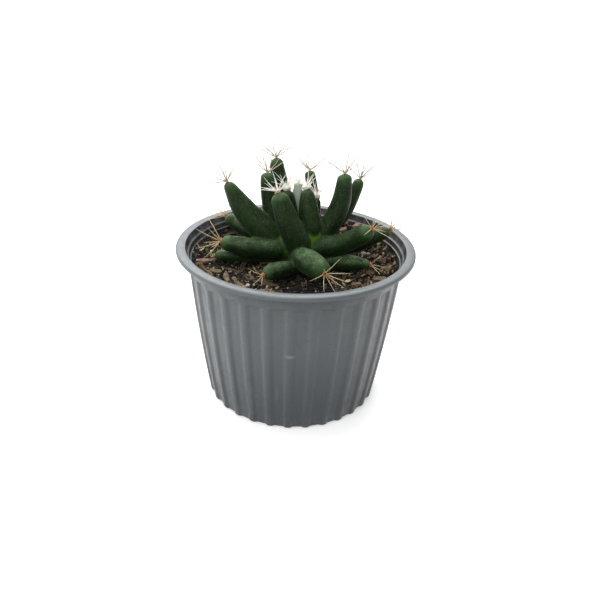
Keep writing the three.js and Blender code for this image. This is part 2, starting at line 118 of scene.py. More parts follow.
# Potting mix: the fine mesh of its top, how uneven it is, and the loose bits strewn over it. A kind
# of bit has its pattern, look, number, least and greatest size, tilt in radians, lift, and the
# headings between which it lies.
MIX_LEVEL = 65.0
MIX_EDGE = 46.5
MIX_REACH = 47.8
MIX_RINGS = 100
MIX_SLICES = 220
MIX_GAP = 0.15
MIX_RELIEF = 0.8
MIX_LUMP = 3.5
STEM_CLEARANCE = 9
ALL_ROUND = (0, 360)
BITS = {
    "mix_crumbs": ("crumb", "peat_crumbs", 3800, (0.6, 2.1), 0.8, 0.1, ALL_ROUND),
    "mix_shreds": ("shred", "pine_bark_fines", 900, (1.0, 3.6), 0.6, 0.3, ALL_ROUND),
    "mix_left": ("shred", "pale_plant_shreds", 620, (0.8, 4.2), 0.7, 0.7, (150, 262)),
    "mix_right": ("shred", "tan_bark_shreds", 720, (0.9, 4.2), 0.7, 0.7, (-55, 35)),
    "left_pieces": ("piece", "torn_bark_pieces", 110, (2.4, 7.5), 0.5, 0.8, (140, 262)),
    "right_pieces": ("piece", "torn_bark_pieces", 95, (2.4, 6.5), 0.5, 0.7, (-42, 50)),
    "mix_slivers": ("sliver", "split_bark_slivers", 70, (3.0, 9.0), 0.35, 0.9, (100, 400)),
    "mix_fibres": ("fibre", "coir_fibres", 160, (3.0, 8.0), 0.25, 0.7, ALL_ROUND),
    "mix_pale_grains": ("crumb", "pale_grit", 420, (0.4, 1.3), 0.6, 0.5, ALL_ROUND),
    "mix_heap": ("shred", "fresh_bark_fines", 200, (1.2, 4.2), 0.8, 0.9, (36, 72)),
}

# Plant: the stem's axis and outline, how unevenly the skin grows, and root, bow, tip, width and end
# width of each tubercle, in millimetres
STEM_AXIS = Vector((2.0, 1.0, 0.0))
STEM_OUTLINE = (
    *((0, 40), (2.2, 42), (4.5, 52), (8, 60), (10.4, 65), (12, 69.5)),
    *((12.6, 74), (11.4, 79), (8.4, 84), (4, 87), (0, 88)),
)
SWAY = 0.35
SWAY_SPACING = 9
TUBERCLES = {
    "left_high": ((-8, -1, 76.6), (-3, 0, -5), (-31.9, 2, 102.6), 12.4, 4.6),
    "left_back": ((-9, 6, 73.1), (-1, 0, -3), (-34.4, 20, 79.5), 7.2, 6.2),
    "back_high": ((-4, 9, 80.6), (-1, 1.5, -2), (-11, 20, 109.3), 8.6, 6),
    "back_left": ((-7.7, 3, 78.6), (-3, 1, -1), (-14.2, 8, 105.5), 8.2, 6.4),
    "front_high": ((3, -8, 73.6), (-1, -2, 0), (-8.7, -8, 101.8), 11.6, 6.8),
    "centre": ((6, -3, 80.6), (0.4, -1, 0), (3.7, 1, 101.2), 10.4, 4.4),
    "centre_back": ((-1, 6, 84.6), (0, 0.5, 0), (0, 12, 100.8), 4.6, 3.8),
    "back": ((9, 8, 80.6), (0.5, 1.5, -1.5), (4.8, 20, 103.7), 6, 5),
    "centre_right": ((7, 2, 80.6), (0.5, 0.5, 0), (8.2, 8, 94.8), 5.5, 4.5),
    "right_high": ((8, -1, 77.6), (7.4, 1, -4.5), (20.5, 4, 107.9), 9.4, 6.2),
    "right_back": ((11, 4, 76.6), (3.6, 1.5, -3), (28.3, 14, 102.6), 7.5, 4.8),
    "right": ((7, -6, 75.6), (1.5, 5, -7), (32.6, -15, 89.6), 9.6, 7),
    "right_low_back": ((11, 1, 72), (2, 0, -3), (43.5, 8, 80.7), 8.4, 4.4),
    "left": ((-5, -6, 75.1), (-2, 0, -2.8), (-33.6, -8, 78), 9, 6.2),
    "left_low": ((-8, -4, 69.5), (0, 0, 0.5), (-37.2, -5, 69.3), 6.5, 4.6),
    "front_left": ((3, -13, 68.4), (-1.5, -1, 2.2), (-13.2, -28.5, 71.8), 8, 5),
    "front": ((-1, -8, 71.6), (1.4, -2, 3), (12.5, -31.5, 75.1), 11.2, 8),
    "right_low": ((10, -6, 69), (1, 0, 0.5), (33.6, -12, 71.2), 8, 3),
    "centre_left": ((-2, 1, 82.6), (-0.5, 0.5, 0), (-5, 5, 99.1), 7, 5),
    "behind_tall": ((0, 10, 76.6), (0, 2, -2), (-3, 34, 86.6), 9, 6),
    "behind_right": ((5, 9, 73.6), (0, 2, -1), (8, 33, 76.1), 8.5, 5.6),
    "behind_left": ((-5, 8, 73.6), (0, 2, -1), (-11, 28, 74.6), 8.5, 5.6),
    "behind_low": ((7, 7, 72), (1, 1, -1), (13, 22, 74), 8.5, 5.6),
}
# The place of the widest part, the tip's rounding in radii of the end, and the root's share of
# the width
BELLY = {"left_high": 0.25, "left_back": 0.6, "front_high": 0.25, "centre": 0.2, "front_left": 0.6}
USUAL_BELLY = 0.4
DOME = {"back_left": 0.5, "back": 0.5, "right_high": 0.6, "front_left": 1.2, "centre_left": 1.2}
USUAL_DOME = 0.9
NECK = {"front": 0.5, "front_left": 0.5}
USUAL_NECK = 0.8
# How pale the fresh tubercle is, and how much grey bloom lies on a tubercle where it faces up; that paleness
# is partly painted highlight
FRESH_TUBERCLE = "centre_back"
FRESHNESS = 0.85
BLOOM_AND_HIGHLIGHT = {"front": 0.9, "right_low": 0.9, "left": 0.7, "left_back": 0.8, "left_low": 0.8, "front_left": 0.5}
USUAL_BLOOM_AND_HIGHLIGHT = 0.3
# The skin turns yellow-green in the axils: within AXIL_RADIUS of the stem's axis, above AXIL_FOOT,
# most where a second tubercle is within AXIL_REACH, and only in the first fifth of a tubercle
AXIL_RADIUS = 15
AXIL_FADE = 6
AXIL_FOOT = 71
AXIL_RISE = 4
AXIL_REACH = 3.4
ROOT_FADE = 5.0
SKIN_VOXEL = 0.46
SKIN_CHUNK = 2000
# In the skin's patterns the tubercles lie this far apart, and each is this long
LAY_APART = 20
LAY_LENGTH = 30

# Areoles: felt or wool at each tubercle's tip, and its spines. A kind gives the pad's radius and
# height, its dense core's share of the radius, and the number, length and thickness of its hairs.
# Spines on high tips are thicker, or they would be lost against the white surround.
PAD_SINK = 0.1
WOOLLY = ("centre", "centre_left", "centre_right")
WHITE_SPINED = ("front_high", *WOOLLY)
BARE = ("left_low", "centre_back")
HIGH_TIP = 95
OLD_PAD = {"radius": 1.1, "height": 0.8, "core": 0.85, "hairs": 110, "longest": 1.1, "girth": 0.8}
BARE_PAD = {"radius": 0.6, "height": 0.5, "core": 0.85, "hairs": 60, "longest": 0.8, "girth": 0.6}
HIGH_PAD = {"radius": 0.9, "height": 0.5, "core": 0.85, "hairs": 90, "longest": 0.6, "girth": 0.8}
YOUNG_PAD = {"radius": 1.6, "height": 1.3, "core": 0.6, "hairs": 110, "longest": 1.0, "girth": 1.0}
WOOLLY_PAD = {"radius": 2.2, "height": 2.2, "core": 0.9, "hairs": 420, "longest": 1.3, "girth": 1.1}
HAIR_RADIUS = 0.06
THREAD_BEND = 0.35
YOUNG_BRISTLES = 10
BRISTLE_LENGTHS = (3.5, 7.5)
BRISTLE_GIRTH = 0.8
SPINE_RADIUS = 0.18
HIGH_GIRTH = 1.35
SPINE_SIDES = 6
SPINE_RINGS = 9
SHORTEST_SPINE = 5
SHORTEST_WORN_SPINE = 1.8

# The chips that show the red inner side of their bark
RED_CHIPS = ("bark_left", "bark_back_right", "bark_heap", "bark_scattered_2")


# Helpers for objects and meshes


def choose(obj):
    """Makes this object the only one that operators act on."""
    bpy.ops.object.select_all(action="DESELECT")
    obj.select_set(True)
    bpy.context.view_layer.objects.active = obj
    return obj


def new_object(name, mesh):
    obj = bpy.data.objects.new(name, mesh)
    bpy.context.scene.collection.objects.link(obj)
    return choose(obj)


def apply_modifier(obj, kind, **settings):
    """Adds a modifier with its settings and applies it to the mesh."""
    choose(obj)
    modifier = obj.modifiers.new(kind.lower(), kind)
    for name, value in settings.items():
        setattr(modifier, name, value)
    bpy.ops.object.modifier_apply(modifier=modifier.name)
    return obj


def edit(obj):
    """Opens the object's mesh for editing, all of it selected."""
    choose(obj)
    bpy.ops.object.mode_set(mode="EDIT")
    bpy.ops.mesh.select_all(action="SELECT")


def close_edit():
    bpy.ops.object.mode_set(mode="OBJECT")


def spun(name, outline, steps, angle=2 * math.pi):
    """An outline of (radius, height) points in millimetres, spun about the Z axis into a surface."""
    points = [(radius * MM, 0, height * MM) for radius, height in outline]
    edges = [(i, i + 1) for i in range(len(points) - 1)]
    mesh = bpy.data.meshes.new(name)
    mesh.from_pydata(points, edges, [])
    obj = new_object(name, mesh)
    edit(obj)
    bpy.ops.mesh.spin(steps=steps, angle=angle, center=(0, 0, 0), axis=(0, 0, 1))
    bpy.ops.mesh.select_all(action="SELECT")
    bpy.ops.mesh.remove_doubles(threshold=0.002 * MM)
    bpy.ops.mesh.normals_make_consistent(inside=False)
    close_edit()
    return obj


def put_down(piece, slot, material, *nodes):
    """Finishes a piece: its material, the body it rides on and the nodes it stands for. The slot is not used.
    """
    piece.data.materials.clear()
    piece.data.materials.append(material)
    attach(piece, "root")
    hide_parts(*nodes)


def smooth(obj, degrees=40):
    choose(obj)
    bpy.ops.object.shade_smooth_by_angle(angle=math.radians(degrees))


def scattered(name, patterns, places, tints):
    """Copies of small pattern meshes, each turned, scaled and put in its place, as one object.

    Each copy gets its own tint, from 0 to 1, which the material reads.
    """
    mesh = bpy.data.meshes.new(name)
    gathered = bmesh.new()
    tint = gathered.verts.layers.float.new("tint")
    done = 0
    for i, place in enumerate(places):
        copy = patterns[i % len(patterns)].copy()
        copy.transform(place)
        gathered.from_mesh(copy)
        bpy.data.meshes.remove(copy)
        gathered.verts.ensure_lookup_table()
        for vertex in gathered.verts[done:]:
            vertex[tint] = tints[i]
        done = len(gathered.verts)
    gathered.to_mesh(mesh)
    gathered.free()
    return new_object(name, mesh)


# Helpers for materials


def linear(code):
    """An sRGB hex colour as the linear colour that shaders take."""
    parts = [int(code[i : i + 2], 16) / 255 for i in (1, 3, 5)]
    return tuple(c / 12.92 if c <= 0.04045 else ((c + 0.055) / 1.055) ** 2.4 for c in parts) + (1.0,)


def add_node(tree, kind, inputs=None, stops=(), **settings):
    """Adds a shader node with its settings and links.

    An input is a value, an output, or a node, whose first output in use is linked. A colour ramp
    also takes its stops, each a place and a hex colour.
    """
    node = tree.nodes.new(f"ShaderNode{kind}")
    for name, value in settings.items():
        setattr(node, name, value)
    for name, value in (inputs or {}).items():
        if isinstance(value, bpy.types.Node):
            value = next(output for output in value.outputs if output.enabled)
        if isinstance(value, bpy.types.NodeSocket):
            tree.links.new(value, node.inputs[name])
        else:
            node.inputs[name].default_value = value
    for _ in stops[2:]:
        node.color_ramp.elements.new(0.5)
    for i, (place, code) in enumerate(stops):
        node.color_ramp.elements[i].position = place
        node.color_ramp.elements[i].color = linear(code)
    return node


def new_material(name):
    """A new material, its empty tree, and the place on the object that its patterns go by."""
    material = bpy.data.materials.new(name)
    material.use_nodes = True
    tree = material.node_tree
    tree.nodes.clear()
    return material, tree, add_node(tree, "TexCoord").outputs["Object"]


def blotches(tree, place, size_mm, levels, ends=(0.0, 1.0), detail=3, roughness=0.5):
    """A mask of cloudy blotches about size_mm across, which runs between two ends at two levels."""
    cloud = {"Vector": place, "Scale": 1 / (size_mm * MM), "Detail": detail, "Roughness": roughness}
    cloud = add_node(tree, "TexNoise", cloud)
    fall = {"Value": cloud, "From Min": levels[0], "From Max": levels[1]}
    fall.update({"To Min": ends[0], "To Max": ends[1]})
    return add_node(tree, "MapRange", fall, interpolation_type="SMOOTHSTEP")


def overlaid(tree, colour, layers):
    """A colour with others laid over it in turn, each a mask and the hex colour it lets through."""
    for mask, code in layers:
        layer = {0: mask, 6: colour, 7: linear(code)}
        colour = add_node(tree, "Mix", layer, data_type="RGBA")
    return colour


def finish_material(tree, shader, height=None, depth_mm=0.1):
    """Links the shader to the output, with a bump from a height of 0 to 1 times its depth."""
    if height is not None:
        bump = add_node(tree, "Bump", {"Height": height, "Distance": depth_mm * MM})
        tree.links.new(bump.outputs["Normal"], shader.inputs["Normal"])
    add_node(tree, "OutputMaterial", {"Surface": shader})


# Materials


def pot_plastic():
    """Injection-moulded polypropylene, grey and satin: even colour, soft gloss, slight dust and scuffs.

    The wall is darkened towards the foot by painted shade. Inside, painted shade darkens the wall above the
    mix.
    """
    material, tree, place = new_material("moulded_polypropylene_grey")
    streaks = add_node(tree, "Mapping", {"Vector": place, "Scale": (1, 1, 0.12)})
    cloud = add_node(tree, "TexNoise", {"Vector": place, "Scale": 1 / (14 * MM), "Detail": 4})
    grey = add_node(tree, "ValToRGB", {"Fac": cloud}, [(0.3, "#5e6468"), (0.7, "#646a6e")])
    height = add_node(tree, "SeparateXYZ", {"Vector": place}).outputs["Z"]
    # Painted shade: the wall darkens towards the foot
    foot_shade = {"Value": height, "From Min": 0.0, "From Max": FOOT_SHADE_HEIGHT * MM, "To Min": 1.0, "To Max": 0.0}
    foot_shade = add_node(tree, "MapRange", foot_shade, interpolation_type="SMOOTHSTEP")
    dust = blotches(tree, streaks, 5, (0.55, 0.8), detail=5, roughness=0.65)
    specks = add_node(tree, "TexVoronoi", {"Vector": place, "Scale": 1 / (2.2 * MM)})
    dirt = {"Value": specks, "From Min": 0.09, "From Max": 0.17, "To Min": 0.8, "To Max": 0.0}
    dirt = add_node(tree, "MapRange", dirt, interpolation_type="SMOOTHSTEP")
    patch = blotches(tree, place, 18, (0.46, 0.6), detail=2)
    dirt = add_node(tree, "Math", {0: dirt, 1: patch}, operation="MULTIPLY")
    mottle = blotches(tree, place, 0.7, (0.35, 0.65), (0.0, 0.5), detail=4, roughness=0.7)
    scuff = add_node(tree, "Mapping", {"Vector": place, "Location": [-c * MM for c in SCUFF_PLACE]})
    scuff = add_node(tree, "Mapping", {"Vector": scuff, "Scale": (0.4, 0.3, 1)})
    scuff = add_node(tree, "VectorMath", {0: scuff}, operation="LENGTH")
    scuff = {"Value": scuff, "From Min": 0.0, "From Max": SCUFF_SIZE * MM, "To Min": 0.5, "To Max": 0.0}
    scuff = add_node(tree, "MapRange", scuff, interpolation_type="SMOOTHSTEP")
    # Painted shade on the wall inside above the mix, broken up by blotches
    inner_shade = add_node(tree, "Attribute", attribute_name="inner_shade").outputs["Fac"]
    inner_shade_blotches = blotches(tree, streaks, 4, (0.3, 0.65), (0.45, 1.15), detail=5)
    inner_shade = add_node(tree, "Math", {0: inner_shade, 1: inner_shade_blotches}, operation="MULTIPLY")
    layers = [(foot_shade, "#42484f"), (dust, "#717373"), (dirt, "#423b33"), (mottle, "#575c5b")]
    grey = overlaid(tree, grey, [*layers, (scuff, "#a3a5a2"), (inner_shade, "#20201e")])
    rough = blotches(tree, place, 3, (0.35, 0.7), (0.34, 0.46), detail=6)
    shader = add_node(tree, "BsdfPrincipled", {"Base Color": grey, "Roughness": rough, "IOR": 1.49})
    # A mould's grain of about 0.05 mm would not show, so it is drawn ten times as coarse
    grain = add_node(tree, "TexNoise", {"Vector": place, "Scale": 1 / (0.5 * MM), "Detail": 4})
    finish_material(tree, shader, grain, depth_mm=0.03)
    return material


def potting_mix_soil():
    """Damp peat and fine bark: nearly black between the crumbs, dark peat with painted shade, dull, with
    brown blotches.
    """
    material, tree, place = new_material("damp_peat_and_bark_fines")
    lumps = {"Vector": place, "Scale": 1 / (2.5 * MM), "Detail": 8, "Roughness": 0.7}
    lumps = add_node(tree, "TexNoise", lumps)
    # Nearly black: dark damp peat, partly painted shade between the crumbs
    brown = [(0.4, "#030201"), (0.6, "#090705"), (0.8, "#1a150f")]
    brown = add_node(tree, "ValToRGB", {"Fac": lumps}, brown)
    shader = add_node(tree, "BsdfPrincipled", {"Base Color": brown, "Roughness": 0.95})
    grain = {"Vector": place, "Scale": 1 / (0.8 * MM), "Detail": 8, "Roughness": 0.7}
    grain = add_node(tree, "TexNoise", grain)
    finish_material(tree, shader, grain, depth_mm=0.5)
    return material


def tinted(name, stops, roughness, grain_mm, depth_mm):
    """A loose bit of the mix whose colour comes from its own tint, with a grain over it."""
    material, tree, place = new_material(name)
    tint = add_node(tree, "Attribute", attribute_name="tint").outputs["Fac"]
    colour = add_node(tree, "ValToRGB", {"Fac": tint}, stops)
    grain = {"Vector": place, "Scale": 1 / (grain_mm * MM), "Detail": 5, "Roughness": 0.65}
    grain = add_node(tree, "TexNoise", grain)
    shade = add_node(tree, "ValToRGB", {"Fac": grain}, [(0.35, "#a0a0a0"), (0.6, "#ffffff")])
    shaded = {0: 1.0, 6: colour, 7: shade}
    shaded = add_node(tree, "Mix", shaded, data_type="RGBA", blend_type="MULTIPLY")
    shader = add_node(tree, "BsdfPrincipled", {"Base Color": shaded, "Roughness": roughness})
    finish_material(tree, shader, grain, depth_mm=depth_mm)
    return material


def cactus_skin():
    """Waxy living skin: deep green, dulled where it faces up by a thin grey bloom that is partly painted
    highlight, with fine pale dots.

    Faint streaks run lengthwise, and it turns yellow-green where young tissue meets in the axils.
    The dots and the specks of bloom are drawn about twice as coarse as real ones, so that they show.
    """
    material, tree, place = new_material("waxy_cactus_skin")
    lay = add_node(tree, "Attribute", attribute_name="skin_lay").outputs["Vector"]
    length = add_node(tree, "Mapping", {"Vector": lay, "Scale": (1, 1, 0.1)})
    marks = {}
    for name in ("along", "axil", "fresh", "bloom_and_highlight"):
        marks[name] = add_node(tree, "Attribute", attribute_name=name).outputs["Fac"]
    cloud = add_node(tree, "TexNoise", {"Vector": place, "Scale": 1 / (7 * MM), "Detail": 4})
    green = add_node(tree, "ValToRGB", {"Fac": cloud}, [(0.3, "#0a1904"), (0.7, "#132a08")])
    streak = blotches(tree, length, 0.6, (0.45, 0.75), (0.0, 0.45), detail=5, roughness=0.7)
    patch = blotches(tree, place, 3.5, (0.35, 0.7), (0.3, 1.0))
    # Frost: grey bloom where the skin faces up, partly painted highlight
    frost_and_highlight = add_node(tree, "Math", {0: marks["bloom_and_highlight"], 1: patch}, operation="MULTIPLY")
    speck = blotches(tree, place, 0.45, (0.52, 0.66), roughness=0.7)
    speck = add_node(tree, "Math", {0: speck, 1: frost_and_highlight}, operation="MULTIPLY")
    dots = add_node(tree, "TexVoronoi", {"Vector": place, "Scale": 1 / (0.6 * MM)})
    falls = {
        "dot": (dots, 0.1, 0.45, 0.25, 0.0),
        "pit": (dots, 0.1, 0.4, 1.0, 0.0),
        "tip": (marks["along"], 0.84, 1.0, 0.0, 0.4),
        "axil": (marks["axil"], 0.1, 1.15, 0.0, 0.85),
    }
    for name, (value, low, high, at_low, at_high) in falls.items():
        fall = {"Value": value, "From Min": low, "From Max": high, "To Min": at_low, "To Max": at_high}
        falls[name] = add_node(tree, "MapRange", fall, interpolation_type="SMOOTHSTEP")
    worn = blotches(tree, place, 1.4, (0.42, 0.62), detail=4)
    dot = add_node(tree, "Math", {0: falls["dot"], 1: worn}, operation="MULTIPLY")
    layers = [(streak, "#2d471c"), (frost_and_highlight, "#48633b"), (speck, "#93a886"), (dot, "#6e865f")]
    green = overlaid(tree, green, [*layers, (falls["tip"], "#557347"), (falls["axil"], "#507a1a")])
    young = [(0.1, "#d3cd62"), (0.4, "#a9bba6"), (0.8, "#b4c5b4")]
    young = add_node(tree, "ValToRGB", {"Fac": marks["along"]}, young)
    green = add_node(tree, "Mix", {0: marks["fresh"], 6: green, 7: young}, data_type="RGBA")
    rough = blotches(tree, place, 2, (0.3, 0.7), (0.4, 0.58), detail=5)
    wax = {"Base Color": green, "Roughness": rough, "IOR": 1.3, "Specular IOR Level": 0.35}
    edge = {"Sheen Weight": 0.09, "Sheen Roughness": 0.4, "Sheen Tint": linear("#bdc9c0")}
    flesh = {"Subsurface Weight": 0.1, "Subsurface Radius": (0.3, 1.0, 0.1), "Subsurface Scale": 1.2 * MM}
    shader = add_node(tree, "BsdfPrincipled", {**wax, **edge, **flesh})
    ridge = add_node(tree, "TexNoise", {"Vector": length, "Scale": 1 / (1.6 * MM), "Detail": 3})
    relief = add_node(tree, "Math", {0: ridge, 1: falls["pit"]}, operation="ADD")
    finish_material(tree, shader, relief, depth_mm=0.06)
    return material


def spine_horn(name, stops, gloss):
    """Dry horny spine: smooth and slightly glossy, its colour running from base to tip."""
    material, tree, place = new_material(name)
    along = add_node(tree, "Attribute", attribute_name="along").outputs["Fac"]
    colour = add_node(tree, "ValToRGB", {"Fac": along}, stops)
    grain = add_node(tree, "TexNoise", {"Vector": place, "Scale": 1 / (0.6 * MM), "Detail": 3})
    shade = add_node(tree, "ValToRGB", {"Fac": grain}, [(0.3, "#a89878"), (0.7, "#ffffff")])
    shaded = {0: 0.25, 6: colour, 7: shade}
    shaded = add_node(tree, "Mix", shaded, data_type="RGBA", blend_type="MULTIPLY")
    horn = {"Base Color": shaded, "Roughness": gloss, "IOR": 1.5}
    glow = {"Subsurface Weight": 0.8, "Subsurface Radius": (1.0, 0.95, 0.85), "Subsurface Scale": 0.8 * MM}
    shader = add_node(tree, "BsdfPrincipled", {**horn, **glow})
    finish_material(tree, shader, grain, depth_mm=0.03)
    return material


def wool(name, dark, light):
    """Matted plant hair: soft, dull threads that pass light on and catch it at their edges.

    Real threads, of about 0.02 mm, would not show, so hairs and bump are drawn far coarser.
    """
    material, tree, place = new_material(name)
    along = add_node(tree, "Attribute", attribute_name="along").outputs["Fac"]
    colour = add_node(tree, "ValToRGB", {"Fac": along}, [(0.0, dark), (0.7, light)])
    hair = {"Base Color": colour, "Roughness": 0.9, "Sheen Weight": 0.5, "Sheen Roughness": 0.4}
    glow = {"Subsurface Weight": 0.5, "Subsurface Radius": (1.0, 0.9, 0.8), "Subsurface Scale": 1.0 * MM}
    shader = add_node(tree, "BsdfPrincipled", {**hair, **glow})
    mat = add_node(tree, "TexNoise", {"Vector": place, "Scale": 1 / (0.4 * MM), "Detail": 3})
    finish_material(tree, shader, mat, depth_mm=0.05)
    return material


def bark_wood(name, dark, middle, light):
    """Weathered pine bark: split along its layers, redder or tanner inside, grey-brown outside."""
    material, tree, place = new_material(name)
    layers = add_node(tree, "Mapping", {"Vector": place, "Scale": (1, 1, 4)})
    grain = {"Vector": layers, "Scale": 1 / (1.6 * MM), "Detail": 8, "Roughness": 0.7, "Distortion": 0.6}
    grain = add_node(tree, "TexNoise", grain)
    brown = add_node(tree, "ValToRGB", {"Fac": grain}, [(0.3, dark), (0.5, middle), (0.7, light)])
    brown = overlaid(tree, brown, [(blotches(tree, place, 4, (0.45, 0.65), detail=2), "#615647")])
    shader = add_node(tree, "BsdfPrincipled", {"Base Color": brown, "Roughness": 0.85})
    finish_material(tree, shader, grain, depth_mm=0.25)
    return material


def perlite_foam():
    """Expanded perlite: white volcanic glass foam, chalky, with tiny open bubbles."""
    material, tree, place = new_material("expanded_perlite")
    bubbles = add_node(tree, "TexVoronoi", {"Vector": place, "Scale": 1 / (0.5 * MM)})
    white = add_node(tree, "ValToRGB", {"Fac": bubbles}, [(0.1, "#9d9484"), (0.5, "#cdc6b6")])
    shader = add_node(tree, "BsdfPrincipled", {"Base Color": white, "Roughness": 0.9})
    finish_material(tree, shader, bubbles, depth_mm=0.15)
    return material


# Pot


def wall_radius(height):
    """Outer radius of the wall at the crest of its flutes, in millimetres."""
    share = height / POT_HEIGHT
    return FOOT_RADIUS + (NECK_RADIUS - FOOT_RADIUS) * share + 4 * WALL_BULGE * share * (1 - share)


def pot_outline():
    """The shell from the floor's underside, up the outside, over the rim and down inside."""
    ledge = POT_HEIGHT - LEDGE_DEPTH
    shoulder = POT_HEIGHT - SHOULDER_DEPTH
    flange = POT_HEIGHT - SHELL
    floor = FLOOR_RISE + SHELL
    top_rows = [FLUTE_TOP - FLUTE_FADE + i * 0.4 for i in range(int(FLUTE_FADE / 0.4) + 1)]
    outside = [FOOT_ROUND + i * (top_rows[0] - FOOT_ROUND) / 8 for i in range(8)] + top_rows
    inside = [h for h in reversed(outside) if h > floor + FLOOR_CORNER + 1]
    return [
        (0, FLOOR_RISE),
        (FOOT_RADIUS - FOOT_ROUND - FOOT_RING - 0.9, FLOOR_RISE),
        (FOOT_RADIUS - FOOT_ROUND - FOOT_RING, 0),
        (FOOT_RADIUS - FOOT_ROUND, 0),
        (FOOT_RADIUS - FOOT_ROUND * 0.3, FOOT_ROUND * 0.3),
        *[(wall_radius(h), h) for h in outside],
        (wall_radius(ledge), ledge - SHELL),
        (wall_radius(ledge) + 0.3, ledge - SHELL + 0.1),
        (MOUTH_FOOT + SHELL - 0.2, ledge - 0.5),
        (MOUTH_FOOT + SHELL, ledge - 0.2),
        (MOUTH_RADIUS + SHELL, flange - 0.3),
        (MOUTH_RADIUS + SHELL + 0.3, flange),
        (RIM_RADIUS - 1.3, flange),
        (RIM_RADIUS - 1, flange - 0.4),
        (RIM_RADIUS - 0.9, POT_HEIGHT - LIP_DROP),
        (RIM_RADIUS - 0.2, POT_HEIGHT - LIP_DROP),
        (RIM_RADIUS, POT_HEIGHT - LIP_DROP + 0.3),
        (RIM_RADIUS, POT_HEIGHT - 0.8),
        (RIM_RADIUS - 0.25, POT_HEIGHT - 0.3),
        (RIM_RADIUS - 0.9, POT_HEIGHT),
        (MOUTH_RADIUS + 0.6, POT_HEIGHT),
        (MOUTH_RADIUS + 0.15, POT_HEIGHT - 0.15),
        (MOUTH_RADIUS, POT_HEIGHT - 0.6),
        (MOUTH_FOOT, ledge + 0.5),
        (MOUTH_FOOT - 0.2, ledge + 0.25),
        (wall_radius(ledge) - SHELL + 0.2, ledge + 0.1),
        (wall_radius(ledge) - SHELL + 0.05, ledge - 0.05),
        (wall_radius(ledge) - SHELL, ledge - 0.4),
        (wall_radius(shoulder) - SHELL, shoulder + 0.25),
        (wall_radius(shoulder) - SHELL - 0.1, shoulder + 0.1),
        (wall_radius(shoulder) - SHELL - SHOULDER_WIDTH + 0.1, shoulder),
        (wall_radius(shoulder) - SHELL - SHOULDER_WIDTH, shoulder - 0.2),
        (wall_radius(FLUTE_TOP) - SHELL - 0.1, FLUTE_TOP + 0.4),
        *[(wall_radius(h) - SHELL, h) for h in inside],
        (wall_radius(floor + FLOOR_CORNER) - SHELL, floor + FLOOR_CORNER),
        (wall_radius(floor) - SHELL - 0.6, floor + 0.6),
        (wall_radius(floor) - SHELL - FLOOR_CORNER, floor),
        (0, floor),
    ]


def flute_share(height):
    """How deep the flutes are at a height, from 0 to 1: full below and fading out in an arch."""
    share = min(max((FLUTE_TOP - height) / FLUTE_FADE, 0), 1)
    return share * share * (3 - 2 * share)


def flute_wave(heading):
    """How far in the wall is pressed at a heading, from 0 on the narrow ribs to 1 on the panels."""
    low = math.tanh(FLUTE_SHARPNESS * (-1 - RIB_SHARE))
    high = math.tanh(FLUTE_SHARPNESS * (1 - RIB_SHARE))
    here = math.tanh(FLUTE_SHARPNESS * (math.cos(FLUTES * heading) - RIB_SHARE))
    return (high - here) / (high - low)


def press_flute(obj):
    """Presses one flute into a sector of the pot's wall, deepest at the sector's middle."""
    for vertex in obj.data.vertices:
        x, y, z = vertex.co / MM
        radius = math.hypot(x, y)
        on_wall = radius > FOOT_RADIUS - FOOT_ROUND - 0.2 and z < FLUTE_TOP
        if on_wall:
            scale = 1 - FLUTE_DEPTH * flute_wave(math.atan2(y, x)) * flute_share(z) / radius
            vertex.co.x *= scale
            vertex.co.y *= scale


def drill_drains(pot):
    """Cuts the ring of drain holes through the pot's floor."""
    for i in range(DRAINS):
        heading = 2 * math.pi * i / DRAINS
        bpy.ops.mesh.primitive_cylinder_add(vertices=32, radius=DRAIN_RADIUS * MM, depth=6 * SHELL * MM)
        drill = bpy.context.object
        middle = Vector((math.cos(heading), math.sin(heading), 0)) * DRAIN_CIRCLE
        drill.location = (middle + Vector((0, 0, FLOOR_RISE))) * MM
        apply_modifier(pot, "BOOLEAN", operation="DIFFERENCE", solver="EXACT", object=drill)
        bpy.data.objects.remove(drill)


def inner_radius(heading, height):
    """Inner radius of the pot's wall at a heading and a height, in millimetres."""
    pressed = FLUTE_DEPTH * flute_wave(heading - FLUTE_HEADING) * flute_share(height)
    return wall_radius(height) - SHELL - pressed


def mark_inner_shade(pot):
    """Writes how dark the painted shade is on the inside, less on its two narrow steps."""
    ledge = POT_HEIGHT - LEDGE_DEPTH
    shoulder = POT_HEIGHT - SHOULDER_DEPTH
    inner_shade = pot.data.attributes.new("inner_shade", "FLOAT", "POINT")
    for vertex in pot.data.vertices:
        x, y, z = vertex.co / MM
        inside = math.hypot(x, y) < inner_radius(math.atan2(y, x), z) + SHELL / 2
        on_step = ledge - 0.1 < z < ledge + 0.3 or shoulder - 0.05 < z < shoulder + 0.15
        if z > ledge:
            inside = math.hypot(x, y) < MOUTH_RADIUS + 0.1 and z < POT_HEIGHT - 0.5
        if inside and z > FLOOR_RISE:
            amount = MOUTH_INNER_SHADE if z > ledge else MOST_INNER_SHADE
            inner_shade.data[vertex.index].value = STEP_INNER_SHADE if on_step else amount


def make_pot():
    sector = 2 * math.pi / FLUTES
    pot = spun("nursery_pot", pot_outline(), FLUTE_COLUMNS, sector)
    press_flute(pot)
    edit(pot)
    bpy.ops.mesh.spin(steps=FLUTES, angle=2 * math.pi, dupli=True, center=(0, 0, 0), axis=(0, 0, 1))
    bpy.ops.mesh.select_all(action="SELECT")
    bpy.ops.mesh.remove_doubles(threshold=0.01 * MM)
    bpy.ops.mesh.normals_make_consistent(inside=False)
    close_edit()
    pot.data.transform(Matrix.Rotation(FLUTE_HEADING, 4, "Z"))
    drill_drains(pot)
    mark_inner_shade(pot)
    smooth(pot, 50)
    put_down(pot, "pot_plastic", pot_plastic(), "pot")


